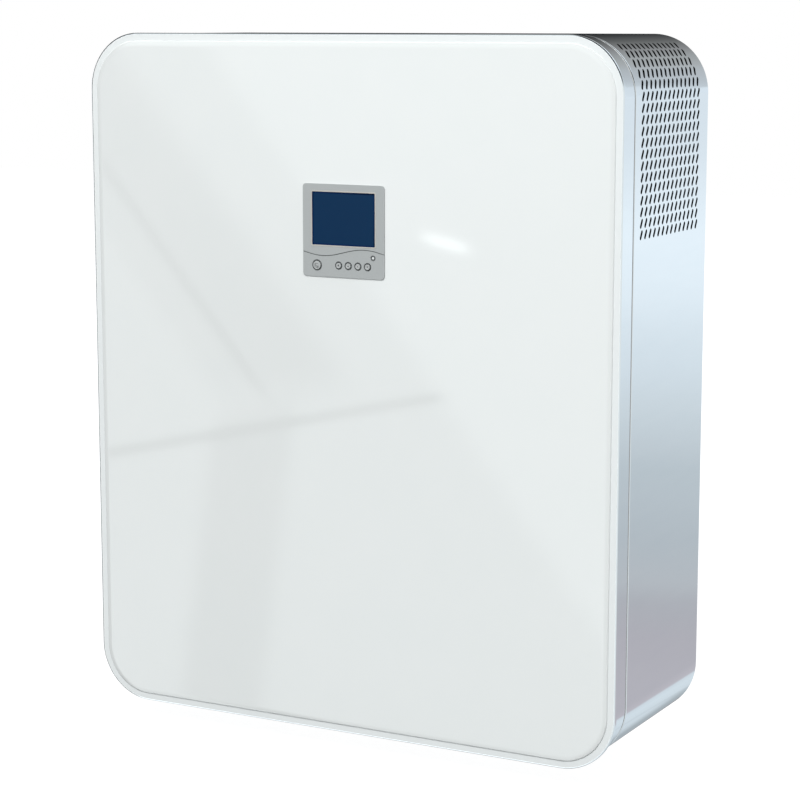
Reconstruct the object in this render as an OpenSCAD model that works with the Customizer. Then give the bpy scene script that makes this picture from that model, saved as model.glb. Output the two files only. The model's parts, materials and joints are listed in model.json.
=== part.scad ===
// Wall-mounted room heat recovery unit.
// Frame: X to the right, Y into the wall, Z up. The origin is the middle of the casing on the wall plane.

/* [Casing] */
// Width of the casing
body_w = 500; // [490:2:560]
// Height of the casing
body_h = 586; // [580:2:640]
// Depth of the casing from the wall to the door seam
body_depth = 155; // [152:1:170]
// Outer radius of the four long corners
corner_r = 49; // [46:1:54]
// Thickness of the bright casing sheet
sheet_t = 1; // [0.8:0.1:1.2]
// Width of the edge folded in round the front opening
front_lip = 10; // [10:0.5:13]
// Width of the edge folded in against the wall
rear_lip = 14; // [10:1:18]
// Depth of the recess between the wall and the back plate
wall_recess = 7; // [7:0.5:10]

/* [Side grilles] */
// Length of one air slot
slot_l = 8.5; // [7:0.5:9]
// Width of one air slot
slot_w = 3.3; // [2.1:0.1:3.5]
// Lean of the slots from upright, their tops towards the wall
slot_lean = 30; // [20:1:40]
// Spacing of the slots from front to back
slot_step_y = 9.07; // [8.5:0.01:9.3]
// Spacing of the slots along the sheet, up and round the corner
slot_step_z = 9.03; // [8.8:0.01:9.3]
// Number of slots from front to back
slot_columns = 14; // [10:1:14]
// Number of rows of slots
slot_rows = 18; // [14:1:19]
// Distance of the first column of slots behind the casing's front edge
slot_first = 14.2; // [12:0.1:16]
// Distance of the top row of slots above the start of the corner bend, along the sheet
slot_top = 46.6; // [44:0.1:50]

/* [Door] */
// Gap between the casing and the door
seam_gap = 2.5; // [2:0.1:3]
// Depth of the door from the seam to the white frame's face
door_depth = 21; // [20:0.5:26]
// How much taller the white frame is than the casing
front_extra_h = 4; // [0:0.5:8]
// Corner radius of the white frame
front_r = 48; // [46:1:52]
// Drop of the white frame's middle below the casing's middle
front_drop = 1.4; // [0:0.1:2]
// Thickness of the white frame
frame_t = 3; // [2.5:0.1:4]
// Width of the white frame round the raised panel
frame_border = 6.6; // [5:0.1:9]
// Thickness of the raised panel
panel_t = 3; // [2.5:0.1:4]
// Height of the panel's face above the frame
panel_rise = 1.5; // [1:0.1:2]
// Width of the door's rear edge, folded in
door_lip = 12; // [12:0.5:16]

/* [Controls] */
// Width of the control panel
bezel_w = 77; // [74:0.5:84]
// Height of the control panel
bezel_h = 76.8; // [76:0.1:84]
// Distance of the control panel to the right of the front's middle
bezel_x = 2.6; // [-10:0.1:10]
// Height of the control panel above the front's middle
bezel_z = 134.2; // [100:0.2:160]
// Height of the control panel's face above the raised panel
bezel_rise = 1; // [0.8:0.1:1.6]
// Width of the display window
lcd_w = 59.8; // [54:0.1:62]
// Height of the display window
lcd_h = 44.4; // [40:0.1:45]
// Height of the display's middle above the control panel's middle
lcd_lift = 9.85; // [9:0.05:10]
// Radius of the power button
power_r = 4.2; // [4:0.1:4.8]
// Radius of the four small keys
key_r = 3; // [2.8:0.1:3.3]
// Spacing of the small keys
key_step = 9.1; // [8.6:0.1:9.4]
// Travel of the buttons
button_travel = 0.8; // [0.5:0.1:0.9]

/* [Heat exchanger and filters] */
// Height of the exchanger's upright sides
hx_side = 100; // [90:2:110]
// Height of the exchanger's middle above the casing's middle
hx_z = 10; // [6:1:14]
// Number of exchanger plates
hx_plates = 24; // [16:1:28]
// Thickness of an exchanger plate
hx_plate_t = 0.8; // [0.6:0.1:1.2]
// Thickness of the air filters
filter_t = 20; // [16:1:22]

/* [Fans] */
// Radius of the fan wheels
wheel_r = 46; // [42:1:48]
// Depth of the fan housings
fan_depth = 60; // [58:1:66]
// Growth of the fan scroll in each quarter turn
scroll_step = 6; // [5:0.5:7]
// Height of the fan outlets
outlet_h = 50; // [44:1:52]
// Number of blades on each fan wheel
blade_count = 32; // [24:2:40]

/* [Air spigots] */
// Outer diameter of the two duct spigots
spigot_d = 99; // [90:1:104]
// Wall of the spigots
spigot_wall = 1.5; // [1.2:0.1:2]
// Length of the spigots behind the wall plane
spigot_reach = 45; // [42:1:60]
// Distance of the spigots from the casing's side to their middle
spigot_side = 90; // [84:1:96]
// Distance of the spigots from the casing's foot to their middle
spigot_foot = 103; // [96:1:110]

/* [Wall rail] */
// Length of the wall rail
rail_w = 300; // [280:5:360]
// Spacing of the four wall bolts
bolt_step = 80; // [70:1:85]
// Diameter of the wall bolt holes
bolt_d = 6.5; // [5:0.5:8]

/* [Hidden] */
$fn = 96;

// Clearances
past = 1;            // how far a cutter runs past the face it opens
slip = 0.5;          // between foam, sheets and the modules laid into them
seat = 0.3;          // between closely fitted trim
pin_fit = 0.05;      // round an axle or a hinge pin
guide_fit = 0.1;     // round a button in its hole
rubber_gap = 0.3;    // between the gasket and the closed door

// Casing
front_y = -body_depth;
bend_x = body_w / 2 - corner_r;
bend_z = body_h / 2 - corner_r;
back_y = -wall_recess;
core_back_t = 18;
core_rear = back_y - sheet_t;
core_mid = core_rear - core_back_t;
cover_t = 1;
core_front = front_y + 1.5;
cover_front = core_front - cover_t;
module_front = front_y - 0.5;
core_inset = sheet_t + slip;
cover_inset = front_lip + 1;
screw_r = 2;
screw_l = 12;
screw_head_r = 4;
screw_head_h = 1.6;

// Grille zones
grille_edge_y = 6;
grille_edge_z = slot_l / 2 + 3.5;
slot_bottom = slot_top - (slot_rows - 1) * slot_step_z;
grille_y0 = front_y + slot_first - grille_edge_y;
grille_y1 = front_y + slot_first + (slot_columns - 1) * slot_step_y + grille_edge_y;
grille_z0 = bend_z + slot_bottom - grille_edge_z;
grille_turn = (slot_top + grille_edge_z) / corner_r * 180 / PI;

// Fans, both of one size
fan_wall = 2;
wheel_gap = 8;
scroll_r = wheel_r + wheel_gap;
scroll_drop = scroll_r + 3 * scroll_step;
fan_room = fan_wall + 2;
partition = 11.5;
fan_rear = core_mid;
fan_front = fan_rear - fan_depth;
spigot_r = spigot_d / 2;
spigot_bore = spigot_r - spigot_wall;
spigot_x = body_w / 2 - spigot_side;
spigot_z = -body_h / 2 + spigot_foot;
spigot_room = spigot_r + 1;
outlet_l = scroll_r + fan_room + partition;
bay_wall = 12.5;
exhaust_fan_x = body_w / 2 - core_inset - bay_wall - fan_room - scroll_r;
exhaust_fan_z = spigot_z + spigot_room + outlet_l;
supply_fan_x = body_w / 2 - core_inset - 14 - outlet_l;
supply_fan_z = bend_z + slot_bottom + scroll_drop;
inlet_r = wheel_r - 8;
inlet_flare = 6;
wheel_front = fan_front + fan_wall + 3;
wheel_rear = fan_rear - fan_wall - 8;
ring_t = 2;
hub_r = 24;
hub_wall = 2.5;
hub_l = 24;
shaft_r = 2.5;
motor_r = 19;
motor_base_r = 28;
motor_base_t = 3;
blade_w = 8;
blade_t = 0.9;

// Heat exchanger, a tall hexagon seen from the front
hx_half = exhaust_fan_x - scroll_drop - fan_room - 7;
hx_top = hx_side / 2 + hx_half;
hx_end_t = 4;
hx_rear = core_mid;
hx_edge_t = 2;
hx_edge_reach = 12;
hx_room = 1;
strap_w = 22;
strap_l = 110;
strap_t = 0.8;
strap_r = 4;

// Seam between the upper and the lower foam, clear of the exhaust fan
core_split = max(hx_z, exhaust_fan_z + scroll_r + scroll_step + fan_room + partition);

// Filters on the two left slopes of the exchanger
filter_l = hx_half * sqrt(2);
filter_off = hx_room + filter_t / 2;
filter_skin = 2;
filter_cap_t = 3;
filter_rear = core_mid - slip;
filter_tab_w = 40;
filter_tab_h = 12;
filter_tab_t = 0.8;
folds = 24;
paper = 0.8;

// Control box
box_x0 = -(body_w / 2 - 9);
box_x1 = -(hx_half + 10);
box_half = 34;
box_depth = 60;
box_wall = 1.5;
box_lid_t = 3.5;
box_front = module_front + box_lid_t;
box_rear = box_front + box_depth;
lid_shift = 6;        // the lid stands clear of the cover's edge, so it is this much shorter than the box
board_t = 1.6;
board_y = box_rear - box_wall - 6;
board_gap = 2;
board_w = box_x1 - box_x0 - 2 * (box_wall + board_gap);
board_h = 2 * (box_half - box_wall - board_gap);
post_r = 3;
post_inset = 5;
choke = [30, 26, 26];
relay = [12, 16, 20];
chip = [14, 3, 14];
can_r = 6;
can_l = 22;
parts_inset = 12.5;
parts_foot = 6.5;
parts_gap = 8;
relay_drop = 2;
chip_inset = 40.5;
terminal = [40, 12, 12];
terminal_step = 6.2;
grommet_x = (box_x0 + box_x1) / 2;
grommet_z = hx_z + 15;
grommet_bore = 4;
grommet_r = 8;
grommet_collar = 2;
probe_clip = [10, 8, 14];
probe_r = 3;
probe_l = 40;
probe_inset = 70;
probe_gap = 15;

// Drain
pan_floor = hx_z - hx_top - 6;
pan_h = 8;
pan_wall = 2;
pan_x0 = 8;
pan_x1 = hx_half + 3;
drain_r = 8;
drain_bore = 6;
drain_x = (pan_x0 + pan_x1) / 2;
drain_y = (core_front + core_mid) / 2;
drain_reach = 22;

// Air flaps
flap_t = 1.5;
flap_r = spigot_bore - 0.7;
flap_y = back_y - 3;
flap_lift = 6;
axle_r = 2;

// Wall rail and its hooks
rail_t = 1.5;
rail_h = 34;
rail_drop = 96;
rail_z = body_h / 2 - rail_drop;
rail_step = 5;
hook_h = 10;
hook_w = 60;
hook_x = rail_w / 2 - hook_w;

// Door
door_rear = front_y - seam_gap;
frame_front = door_rear - door_depth;
frame_rear = frame_front + frame_t;
panel_front = frame_front - panel_rise;
panel_rear = panel_front + panel_t;
panel_ledge = 6;
bezel_front = panel_front - bezel_rise;
liner_t = 1;
liner_rear = door_rear - sheet_t;
liner_front = liner_rear - liner_t;

// Hinges
catch_inset = 93;    // from the casing's top and foot to the middle of a hinge or a catch
cap_r = 2.4;
cap_h = 1.5;
leaf_t = 0.9;
leaf_w = 9;
knuckle_r = 3.5;
knuckle_l = 15;
hinge_x = -(body_w / 2 + knuckle_r + 0.2);
hinge_y = front_y - seam_gap / 2;
hinge_z = body_h / 2 - catch_inset;
hinge_pin_r = 1.5;
hinge_h = 3 * knuckle_l;

// Trim in the seam
gasket_inset = 0.4;
gasket_w = 3;
trim_inset = 5;
trim_w = 4.5;
catch_l = 25;
strike_t = 0.7;
strip_t = 0.7;
strip_l = 30;

// Control panel in the door
bezel_cx = bezel_x;
bezel_cz = bezel_z - front_drop;
bezel_corner = 3;
bezel_face = 2;
skirt_wall = 1.5;
skirt_w = bezel_w - 4.5;
skirt_h = bezel_h - 4.3;
skirt_depth = 11.5;
skirt_rear = panel_front + skirt_depth;
bezel_back = bezel_front + bezel_face;
module_t = 4;
module_rim = 4.4;
display_board_y = bezel_back + module_t;
wave_rise = 3.1;
wave_z = -17.9;
wave_w = 0.7;
groove = 0.3;
power_x = -25.1;
power_z = -29.1;
keys_x = -4.45;
keys_z = -28.6;
light_x = 28;
light_z = -21;
light_r = 2.2;
ring_w = 0.5;
button_rise = 0.6;
button_foot = 0.8;
switch_h = bezel_back + button_foot + button_travel + 0.2 - display_board_y;
key_places = [for (i = [0:3]) [keys_x + i * key_step, keys_z]];

// ---------------------------------------------------------------- outlines

// Rectangle with round corners about its middle
module rounded_rect(w, h, r) {
    square([w - 2 * r, h], center = true);
    square([w, h - 2 * r], center = true);
    for (x = [-1, 1], z = [-1, 1]) translate([x * (w / 2 - r), z * (h / 2 - r)]) circle(r);
}

// Outline of the casing, drawn in by an inset
module body_outline(inset) {
    rounded_rect(body_w - 2 * inset, body_h - 2 * inset, corner_r - inset);
}

// Band of the casing's outline between two insets
module body_band(outer, inner) {
    difference() {
        body_outline(outer);
        body_outline(inner);
    }
}

// Outline of the white front, drawn in by an inset
module front_outline(inset) {
    translate([0, -front_drop]) rounded_rect(body_w - 2 * inset, body_h + front_extra_h - 2 * inset, front_r - inset);
}

// Stands a front-view outline upright from depth y0 back to y1
module upright(y0, y1) {
    translate([0, y1, 0]) rotate([90, 0, 0]) linear_extrude(height = y1 - y0) children();
}

// Round bar along Y from depth y0 back to y1
module rod_y(r, y0, y1) {
    upright(y0, y1) circle(r);
}

// Slot outline with round ends, upright
module slot_outline() {
    square([slot_w, slot_l - slot_w], center = true);
    for (s = [-1, 1]) translate([0, s * (slot_l - slot_w) / 2]) circle(d = slot_w);
}

// Corners of the exchanger's hexagon, grown all round by g
function hx_points(g) = let (x = hx_half + g, z = hx_side / 2 + g * (sqrt(2) - 1), t = hx_top + g * sqrt(2))
    [[x, hx_z + z], [0, hx_z + t], [-x, hx_z + z], [-x, hx_z - z], [0, hx_z - t], [x, hx_z - z]];

// Front view of one filter, g larger all round, on the upper (side 1) or lower (side -1) left slope
module filter_place(side) {
    middle = [-hx_half / 2, hx_z + side * (hx_side / 2 + hx_half / 2)];
    translate(middle) rotate(side * 45) translate([0, side * filter_off]) children();
}

// Mirrors what is drawn for the right side to both sides
module both_sides() {
    for (m = [0, 1]) mirror([m, 0, 0]) children();
}

// ---------------------------------------------------------------- casing

// Zone of the right side, flat and curved, that carries the slots
module grille_zone() {
    far = 2 * corner_r;
    translate([bend_x, bend_z]) {
        translate([corner_r - 5, grille_z0 - bend_z]) square([10, bend_z - grille_z0]);
        polygon([[0, 0], [far, 0], [far, far], [far / tan(grille_turn), far]]);
    }
}

module slot_row(rows_on_flat) {
    rotate([90, 0, 90]) linear_extrude(height = 6 * sheet_t, center = true)
        for (row = rows_on_flat, column = [0:slot_columns - 1])
            translate([front_y + slot_first + column * slot_step_y, row]) rotate(-slot_lean) slot_outline();
}

function row_place(row) = slot_top - row * slot_step_z;

module grille() {
    flat_rows = [for (row = [0:slot_rows - 1]) if (row_place(row) <= 0) row_place(row)];
    difference() {
        upright(grille_y0, grille_y1) intersection() {
            body_band(0, sheet_t);
            grille_zone();
        }
        translate([body_w / 2, 0, bend_z]) slot_row(flat_rows);
        for (row = [0:slot_rows - 1])
            if (row_place(row) > 0)
                translate([bend_x, 0, bend_z]) rotate([0, -row_place(row) / corner_r * 180 / PI, 0])
                    translate([corner_r, 0, 0]) slot_row([0]);
    }
}

module casing_wrapper() {
    color("gainsboro") difference() {
        union() {
            upright(front_y, 0) body_band(0, sheet_t);
            upright(front_y, front_y + sheet_t) body_band(0, front_lip);
            upright(-sheet_t, 0) body_band(0, rear_lip);
        }
        both_sides() upright(grille_y0, grille_y1) grille_zone();
        translate([drain_x, drain_y, -body_h / 2]) cylinder(h = 4 * sheet_t, r = drain_r + slip, center = true);
    }
}

module right_grille() { color("gainsboro") grille(); }

module left_grille() { color("gainsboro") mirror([1, 0, 0]) grille(); }

module spigot_places() {
    for (side = [-1, 1]) translate([side * spigot_x, 0, spigot_z]) children();
}

// Hook that hangs on the rail's upturned edge
module rail_hook() {
    top = rail_z + rail_h + hook_h;
    hook_back = -rail_t;
    translate([-hook_w / 2, back_y, top]) cube([hook_w, hook_back - back_y, rail_t]);
    translate([-hook_w / 2, hook_back - rail_t, top - hook_h + slip]) cube([hook_w, rail_t, hook_h]);
}

module back_plate() {
    color("silver") difference() {
        union() {
            upright(back_y - sheet_t, back_y) body_outline(sheet_t + seat);
            upright(back_y, -sheet_t) body_band(sheet_t + seat, 2 * sheet_t + seat);
            for (side = [-1, 1]) translate([side * hook_x, 0, 0]) rail_hook();
        }
        spigot_places() rod_y(spigot_r + guide_fit, back_y - sheet_t - past, back_y + past);
        translate([grommet_x, 0, grommet_z]) rod_y(grommet_r, back_y - sheet_t - past, back_y + past);
    }
}

module wall_rail() {
    color("silver") difference() {
        union() {
            translate([-rail_w / 2, -rail_t, rail_z]) cube([rail_w, rail_t, rail_h]);
            translate([-rail_w / 2, -rail_step, rail_z + rail_h - rail_t]) cube([rail_w, rail_step, rail_t]);
            translate([-rail_w / 2, -rail_step, rail_z + rail_h - rail_t]) cube([rail_w, rail_t, rail_t + hook_h]);
        }
        for (i = [-1.5:1:1.5]) translate([i * bolt_step, 0, rail_z + (rail_h - rail_t) / 2])
            rod_y(bolt_d / 2, -rail_t - past, past);
    }
}

// ---------------------------------------------------------------- foam core

// Room from the left grille to the upper filter
module extract_room() {
    face = (filter_off + filter_t / 2) / sqrt(2);
    top = body_h / 2 - 31;
    side = -body_w / 2 - 10;
    polygon([
        [-hx_half - face + 4, hx_z + hx_side / 2 + face + 4], [-face - 4, hx_z + hx_top + face - 4],
        [-face - 4, top], [side + 60, top], [side, top + 40], [side, grille_z0 + 4],
    ]);
}

// Room from the outdoor air spigot to the lower filter
module outdoor_room() {
    face = (filter_off + filter_t / 2) / sqrt(2);
    skew = spigot_room / sqrt(2);
    translate([-spigot_x, spigot_z]) circle(spigot_room);
    polygon([
        [-hx_half - face + 4, hx_z - hx_side / 2 - face - 4], [-face - 4, hx_z - hx_top - face + 4],
        [-spigot_x + skew, spigot_z - skew], [-spigot_x - skew, spigot_z + skew],
    ]);
}

// Room from the exchanger's upper right slope round the supply fan
module supply_room() {
    right = supply_fan_x + scroll_r + fan_room;
    top = supply_fan_z + scroll_r + fan_room;
    left = supply_fan_x - scroll_r - scroll_step - fan_room;
    polygon([
        [6, hx_z + hx_top - 6], [hx_half - 6, hx_z + hx_side / 2 + 6],
        [right, supply_fan_z - scroll_drop - fan_room], [right, top], [left, top],
    ]);
}

// Room from the exchanger's lower right slope round the exhaust fan
module exhaust_room() {
    right = exhaust_fan_x + scroll_r + fan_room;
    left = exhaust_fan_x - scroll_drop - fan_room;
    top = exhaust_fan_z + scroll_r + scroll_step + fan_room;
    floor_z = exhaust_fan_z - scroll_r - fan_room;
    polygon([
        [6, hx_z - hx_top + 6], [hx_half - 6, hx_z - hx_side / 2 - 6], [hx_half - 6, top],
        [right, top], [right, floor_z], [left, floor_z], [left, pan_floor], [6, pan_floor],
    ]);
}

module core_outline() {
    body_outline(core_inset);
}

// Seats of the exchanger, the filters and the control box, cut from the front
module core_seats() {
    upright(core_front - past, core_mid + past) {
        polygon(hx_points(hx_room));
        for (side = [-1, 1]) filter_place(side) square([filter_l + 2 * slip, filter_t + 2 * slip], center = true);
    }
    upright(core_front - past, box_rear + slip)
        translate([-body_w / 2, hx_z - box_half - slip]) square([box_x1 + slip + body_w / 2, 2 * box_half + 2 * slip]);
}

// Band behind the right grille, a little inside its edges
module grille_zone_room() {
    far = 2 * corner_r;
    translate([bend_x, bend_z]) {
        translate([0, slot_bottom - fan_room]) square([far, -slot_bottom + fan_room]);
        polygon([[0, 0], [far, 0], [far, far], [far / tan(grille_turn - 6), far]]);
    }
}

// Air rooms and passages right through the foam
module core_rooms() {
    duct_l = outlet_l + past;
    duct_h = outlet_h + 2 * fan_room;
    duct_x = exhaust_fan_x - scroll_drop - fan_room;
    upright(core_front - past, core_mid + past) {
        extract_room();
        supply_room();
        outdoor_room();
        exhaust_room();
    }
    // Behind the right grille, joined to the supply fan's outlet
    upright(grille_y0 + slip, core_mid + past) intersection() {
        difference() {
            body_outline(0);
            body_outline(14 + core_inset);
        }
        grille_zone_room();
    }
    // Round the fans' outlets, and down to the exhaust spigot
    upright(fan_front - slip, core_mid + past) {
        translate([supply_fan_x, supply_fan_z - scroll_drop - fan_room]) square([duct_l, duct_h]);
        translate([duct_x, spigot_z]) square([duct_h, exhaust_fan_z - spigot_z]);
        translate([spigot_x, spigot_z]) circle(spigot_room);
    }
}

// Everything cut from the foam that stands in front of the rear panel
module core_cuts() {
    channel_w = 2 * (drain_r + slip);
    core_seats();
    core_rooms();
    translate([drain_x - channel_w / 2, core_front - past, -body_h / 2 - past])
        cube([channel_w, drain_y + channel_w / 2 - core_front + past, body_h / 2 + pan_floor + 2 * past]);
    translate([grommet_x, 0, grommet_z]) rod_y(grommet_r, box_rear, core_mid + past);
    cover_screw_places() rod_y(screw_r, core_front - past, core_front + screw_l);
}

// Foam between x0 and x1 and between z0 and z1
module core_block(x0, x1, z0, z1) {
    color("dimgray") difference() {
        upright(core_front, core_mid) intersection() {
            core_outline();
            translate([x0, z0]) square([x1 - x0, z1 - z0]);
        }
        core_cuts();
    }
}

module core_upper() { core_block(-body_w, body_w, core_split, body_h); }

// Two blocks that meet under the exchanger
module core_lower() {
    core_block(-body_w, -slip / 2, -body_h, core_split);
    core_block(slip / 2, body_w, -body_h, core_split);
}

// Block of the rear panel between two places across and two heights
module back_block(x0, x1, z0, z1) {
    upright(core_mid, core_rear) intersection() {
        core_outline();
        translate([x0, z0]) square([x1 - x0, z1 - z0]);
    }
}

// Rear panel: a strip under the spigots, three blocks beside and between them, and the panel above
module core_back() {
    half = spigot_r + guide_fit;
    low = spigot_z - half;
    high = spigot_z + half;
    color("dimgray") {
        back_block(-body_w, body_w, -body_h, low);
        back_block(-body_w, -spigot_x - half, low + slip, high - slip);
        back_block(half - spigot_x, spigot_x - half, low + slip, high - slip);
        back_block(spigot_x + half, body_w, low + slip, high - slip);
        difference() {
            back_block(-body_w, body_w, high, body_h);
            translate([grommet_x, 0, grommet_z]) rod_y(grommet_r, core_mid - past, core_rear + past);
        }
    }
}

// ---------------------------------------------------------------- inner cover

module cover_screw_places() {
    high = body_h / 2 - cover_inset - 10;
    wide = body_w / 2 - cover_inset - 10.5;
    for (x = [-0.4, -0.14, 0.14, 0.4], side = [-1, 1]) translate([x * body_w, 0, side * high]) children();
    for (side = [-1, 1]) translate([side * wide, 0, hx_z + hx_side / 2 + 15]) children();
}

module inner_cover() {
    color("whitesmoke") difference() {
        upright(cover_front, core_front) difference() {
            body_outline(cover_inset);
            polygon(hx_points(hx_room));
            for (side = [-1, 1]) filter_place(side) square([filter_l + 2 * slip, filter_t + 2 * hx_room], center = true);
            translate([(box_x0 + box_x1) / 2 + lid_shift / 2, hx_z])
                square([box_x1 - box_x0 - lid_shift + 2 * slip, 2 * box_half + 2 * slip], center = true);
        }
        cover_screw_places() rod_y(screw_r + guide_fit, cover_front - past, core_front + past);
    }
}

module cover_screws() {
    color("silver") cover_screw_places() difference() {
        union() {
            rod_y(screw_head_r, cover_front - screw_head_h, cover_front);
            rod_y(screw_r, cover_front - past / 2, core_front + screw_l);
        }
        upright(cover_front - screw_head_h - past, cover_front - screw_head_h / 3) {
            square([4.4, 1], center = true);
            square([1, 4.4], center = true);
        }
    }
}

// ---------------------------------------------------------------- heat exchanger

module exchanger_ends() {
    color("black") {
        upright(module_front, module_front + hx_end_t) polygon(hx_points(0));
        upright(hx_rear - hx_end_t, hx_rear) polygon(hx_points(0));
    }
}

module exchanger_edges() {
    color("black") upright(module_front + hx_end_t, hx_rear - hx_end_t) intersection() {
        difference() {
            polygon(hx_points(0));
            polygon(hx_points(-hx_edge_t));
        }
        for (p = hx_points(0)) translate(p) circle(hx_edge_reach);
    }
}

module exchanger_plates() {
    start = module_front + hx_end_t;
    step = (hx_rear - hx_end_t - start) / (hx_plates + 1);
    color("lightgray") for (i = [1:hx_plates])
        upright(start + i * step - hx_plate_t / 2, start + i * step + hx_plate_t / 2)
            polygon(hx_points(-hx_edge_t - seat / 2));
}

module exchanger_strap() {
    color("steelblue") upright(module_front - strap_t, module_front)
        translate([0, hx_z]) rounded_rect(strap_w, strap_l, strap_r);
}

// ---------------------------------------------------------------- filters

module filter_frames() {
    color("white") for (side = [-1, 1]) {
        difference() {
            upright(module_front, filter_rear) filter_place(side) square([filter_l, filter_t], center = true);
            upright(module_front + filter_cap_t, filter_rear - filter_skin)
                filter_place(side) square([filter_l - 2 * filter_skin, filter_t + past], center = true);
        }
        upright(module_front - filter_tab_t, module_front) filter_place(side)
            rounded_rect(filter_tab_w, filter_tab_h, filter_tab_h / 4);
    }
}

// Folded paper, a zigzag band with its folds running front to back
module filter_media() {
    step = (filter_l - 2 * filter_skin - seat) / folds;
    high = filter_t / 2 - 1.5;
    line = [for (i = [0:folds]) [(i - folds / 2) * step, (i % 2 == 0 ? 1 : -1) * high]];
    color("aliceblue") for (side = [-1, 1])
        upright(module_front + filter_cap_t, filter_rear - filter_skin) filter_place(side)
            polygon(concat(
                [for (p = line) p + [0, paper]],
                [for (i = [folds:-1:0]) line[i] - [0, paper]]
            ));
}

// ---------------------------------------------------------------- fans

// Inside outline of the fan scroll, grown all round by g, its outlet to the right at the foot
module scroll_outline(g, reach) {
    far = scroll_drop + g;
    intersection() {
        circle(scroll_r + g);
        square(far);
    }
    translate([0, -scroll_step]) intersection() {
        circle(scroll_r + scroll_step + g);
        translate([-2 * far, 0]) square(2 * far);
    }
    translate([scroll_step, -scroll_step]) intersection() {
        circle(scroll_r + 2 * scroll_step + g);
        translate([-2 * far, -2 * far]) square(2 * far);
    }
    translate([0, -scroll_drop - g]) square([scroll_r + g, scroll_drop + g]);
    translate([0, -scroll_drop - g]) square([reach, outlet_h + 2 * g]);
}

module at_supply_fan() {
    translate([supply_fan_x, 0, supply_fan_z]) children();
}

module at_exhaust_fan() {
    translate([exhaust_fan_x, 0, exhaust_fan_z]) rotate([0, 90, 0]) children();
}

module fan_housing() {
    difference() {
        upright(fan_front, fan_rear) scroll_outline(fan_wall, outlet_l);
        upright(fan_front + fan_wall, fan_rear - fan_wall) scroll_outline(0, outlet_l + past);
        rod_y(inlet_r, fan_front - past, fan_front + fan_wall + past);
    }
}

module fan_motor() {
    rear = fan_rear - fan_wall;
    difference() {
        union() {
            rod_y(motor_base_r, rear - motor_base_t, rear);
            rod_y(motor_r, wheel_rear - hub_l + ring_t + 6, rear - motor_base_t + past / 2);
        }
        rod_y(shaft_r + pin_fit, wheel_rear - hub_l, rear - past);
    }
}

module fan_wheel() {
    hub_front = wheel_rear - hub_l;
    difference() {
        rod_y(hub_r, hub_front, wheel_rear);
        rod_y(hub_r - hub_wall, hub_front + ring_t, wheel_rear + past);
    }
    upright(wheel_rear - ring_t, wheel_rear) difference() {
        circle(wheel_r);
        circle(hub_r - hub_wall / 2);
    }
    upright(wheel_front, wheel_front + ring_t) difference() {
        circle(wheel_r);
        circle(wheel_r - blade_w);
    }
    upright(wheel_front + ring_t / 2, wheel_rear - ring_t / 2) for (i = [0:blade_count - 1])
        rotate(i * 360 / blade_count) translate([wheel_r - blade_w / 2 - 0.6, 0]) rotate(28)
            square([blade_w - 1.5, blade_t], center = true);
    rod_y(shaft_r, hub_front + ring_t / 2, wheel_rear + 4);
}

module supply_fan_housing() { color("darkslategray") at_supply_fan() fan_housing(); }

module exhaust_fan_housing() { color("darkslategray") at_exhaust_fan() fan_housing(); }

module supply_fan_motor() { color("gray") at_supply_fan() fan_motor(); }

module exhaust_fan_motor() { color("gray") at_exhaust_fan() fan_motor(); }

module supply_wheel() { color("dimgray") at_supply_fan() fan_wheel(); }

module exhaust_wheel() { color("dimgray") at_exhaust_fan() fan_wheel(); }

// Flared ring that leads the air into a fan
module inlet_ring() {
    translate([0, fan_front, 0]) rotate([90, 0, 0]) rotate_extrude() translate([inlet_r, 0]) difference() {
        square([inlet_flare + 1.5, inlet_flare]);
        translate([0, inlet_flare]) circle(inlet_flare - 1);
    }
}

module inlet_rings() {
    color("silver") {
        at_supply_fan() inlet_ring();
        at_exhaust_fan() inlet_ring();
    }
}

// ---------------------------------------------------------------- spigots and flaps

module spigot() {
    difference() {
        union() {
            rod_y(spigot_r, core_mid, spigot_reach);
            rod_y(spigot_r + 8, back_y, back_y + spigot_wall);
        }
        rod_y(spigot_bore, core_mid - past, spigot_reach + past);
        translate([-spigot_d, flap_y, flap_lift]) rotate([0, 90, 0]) cylinder(h = 2 * spigot_d, r = axle_r + pin_fit);
    }
}

module outdoor_spigot() { color("silver") translate([-spigot_x, 0, spigot_z]) spigot(); }

module exhaust_spigot() { color("silver") translate([spigot_x, 0, spigot_z]) spigot(); }

// Round shutter on its axle, hung a little above the middle so that it falls shut
module flap() {
    rod_y(flap_r, flap_y - flap_t / 2, flap_y + flap_t / 2);
    translate([-spigot_bore - spigot_wall / 3, flap_y, flap_lift]) rotate([0, 90, 0])
        cylinder(h = 2 * spigot_bore + 2 * spigot_wall / 3, r = axle_r);
}

module outdoor_flap() { color("gray") translate([-spigot_x, 0, spigot_z]) flap(); }

module exhaust_flap() { color("gray") translate([spigot_x, 0, spigot_z]) flap(); }

// ---------------------------------------------------------------- drain

module drain_pan() {
    pan_y0 = core_front + 3;
    pan_y1 = core_mid - 1;
    color("slategray") difference() {
        translate([pan_x0, pan_y0, pan_floor]) cube([pan_x1 - pan_x0, pan_y1 - pan_y0, pan_h]);
        translate([pan_x0 + pan_wall, pan_y0 + pan_wall, pan_floor + pan_wall])
            cube([pan_x1 - pan_x0 - 2 * pan_wall, pan_y1 - pan_y0 - 2 * pan_wall, pan_h]);
        translate([drain_x, drain_y, pan_floor - past]) cylinder(h = 3 * past + pan_wall, r = drain_bore);
    }
}

module drain_tube() {
    foot = -body_h / 2 - drain_reach;
    collar = 3;
    color("slategray") translate([drain_x, drain_y, foot]) difference() {
        union() {
            cylinder(h = pan_floor - foot, r = drain_r);
            translate([0, 0, drain_reach - collar]) cylinder(h = collar, r = drain_r + 4);
        }
        translate([0, 0, -past]) cylinder(h = pan_floor - foot + 2 * past, r = drain_bore);
    }
}

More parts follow.
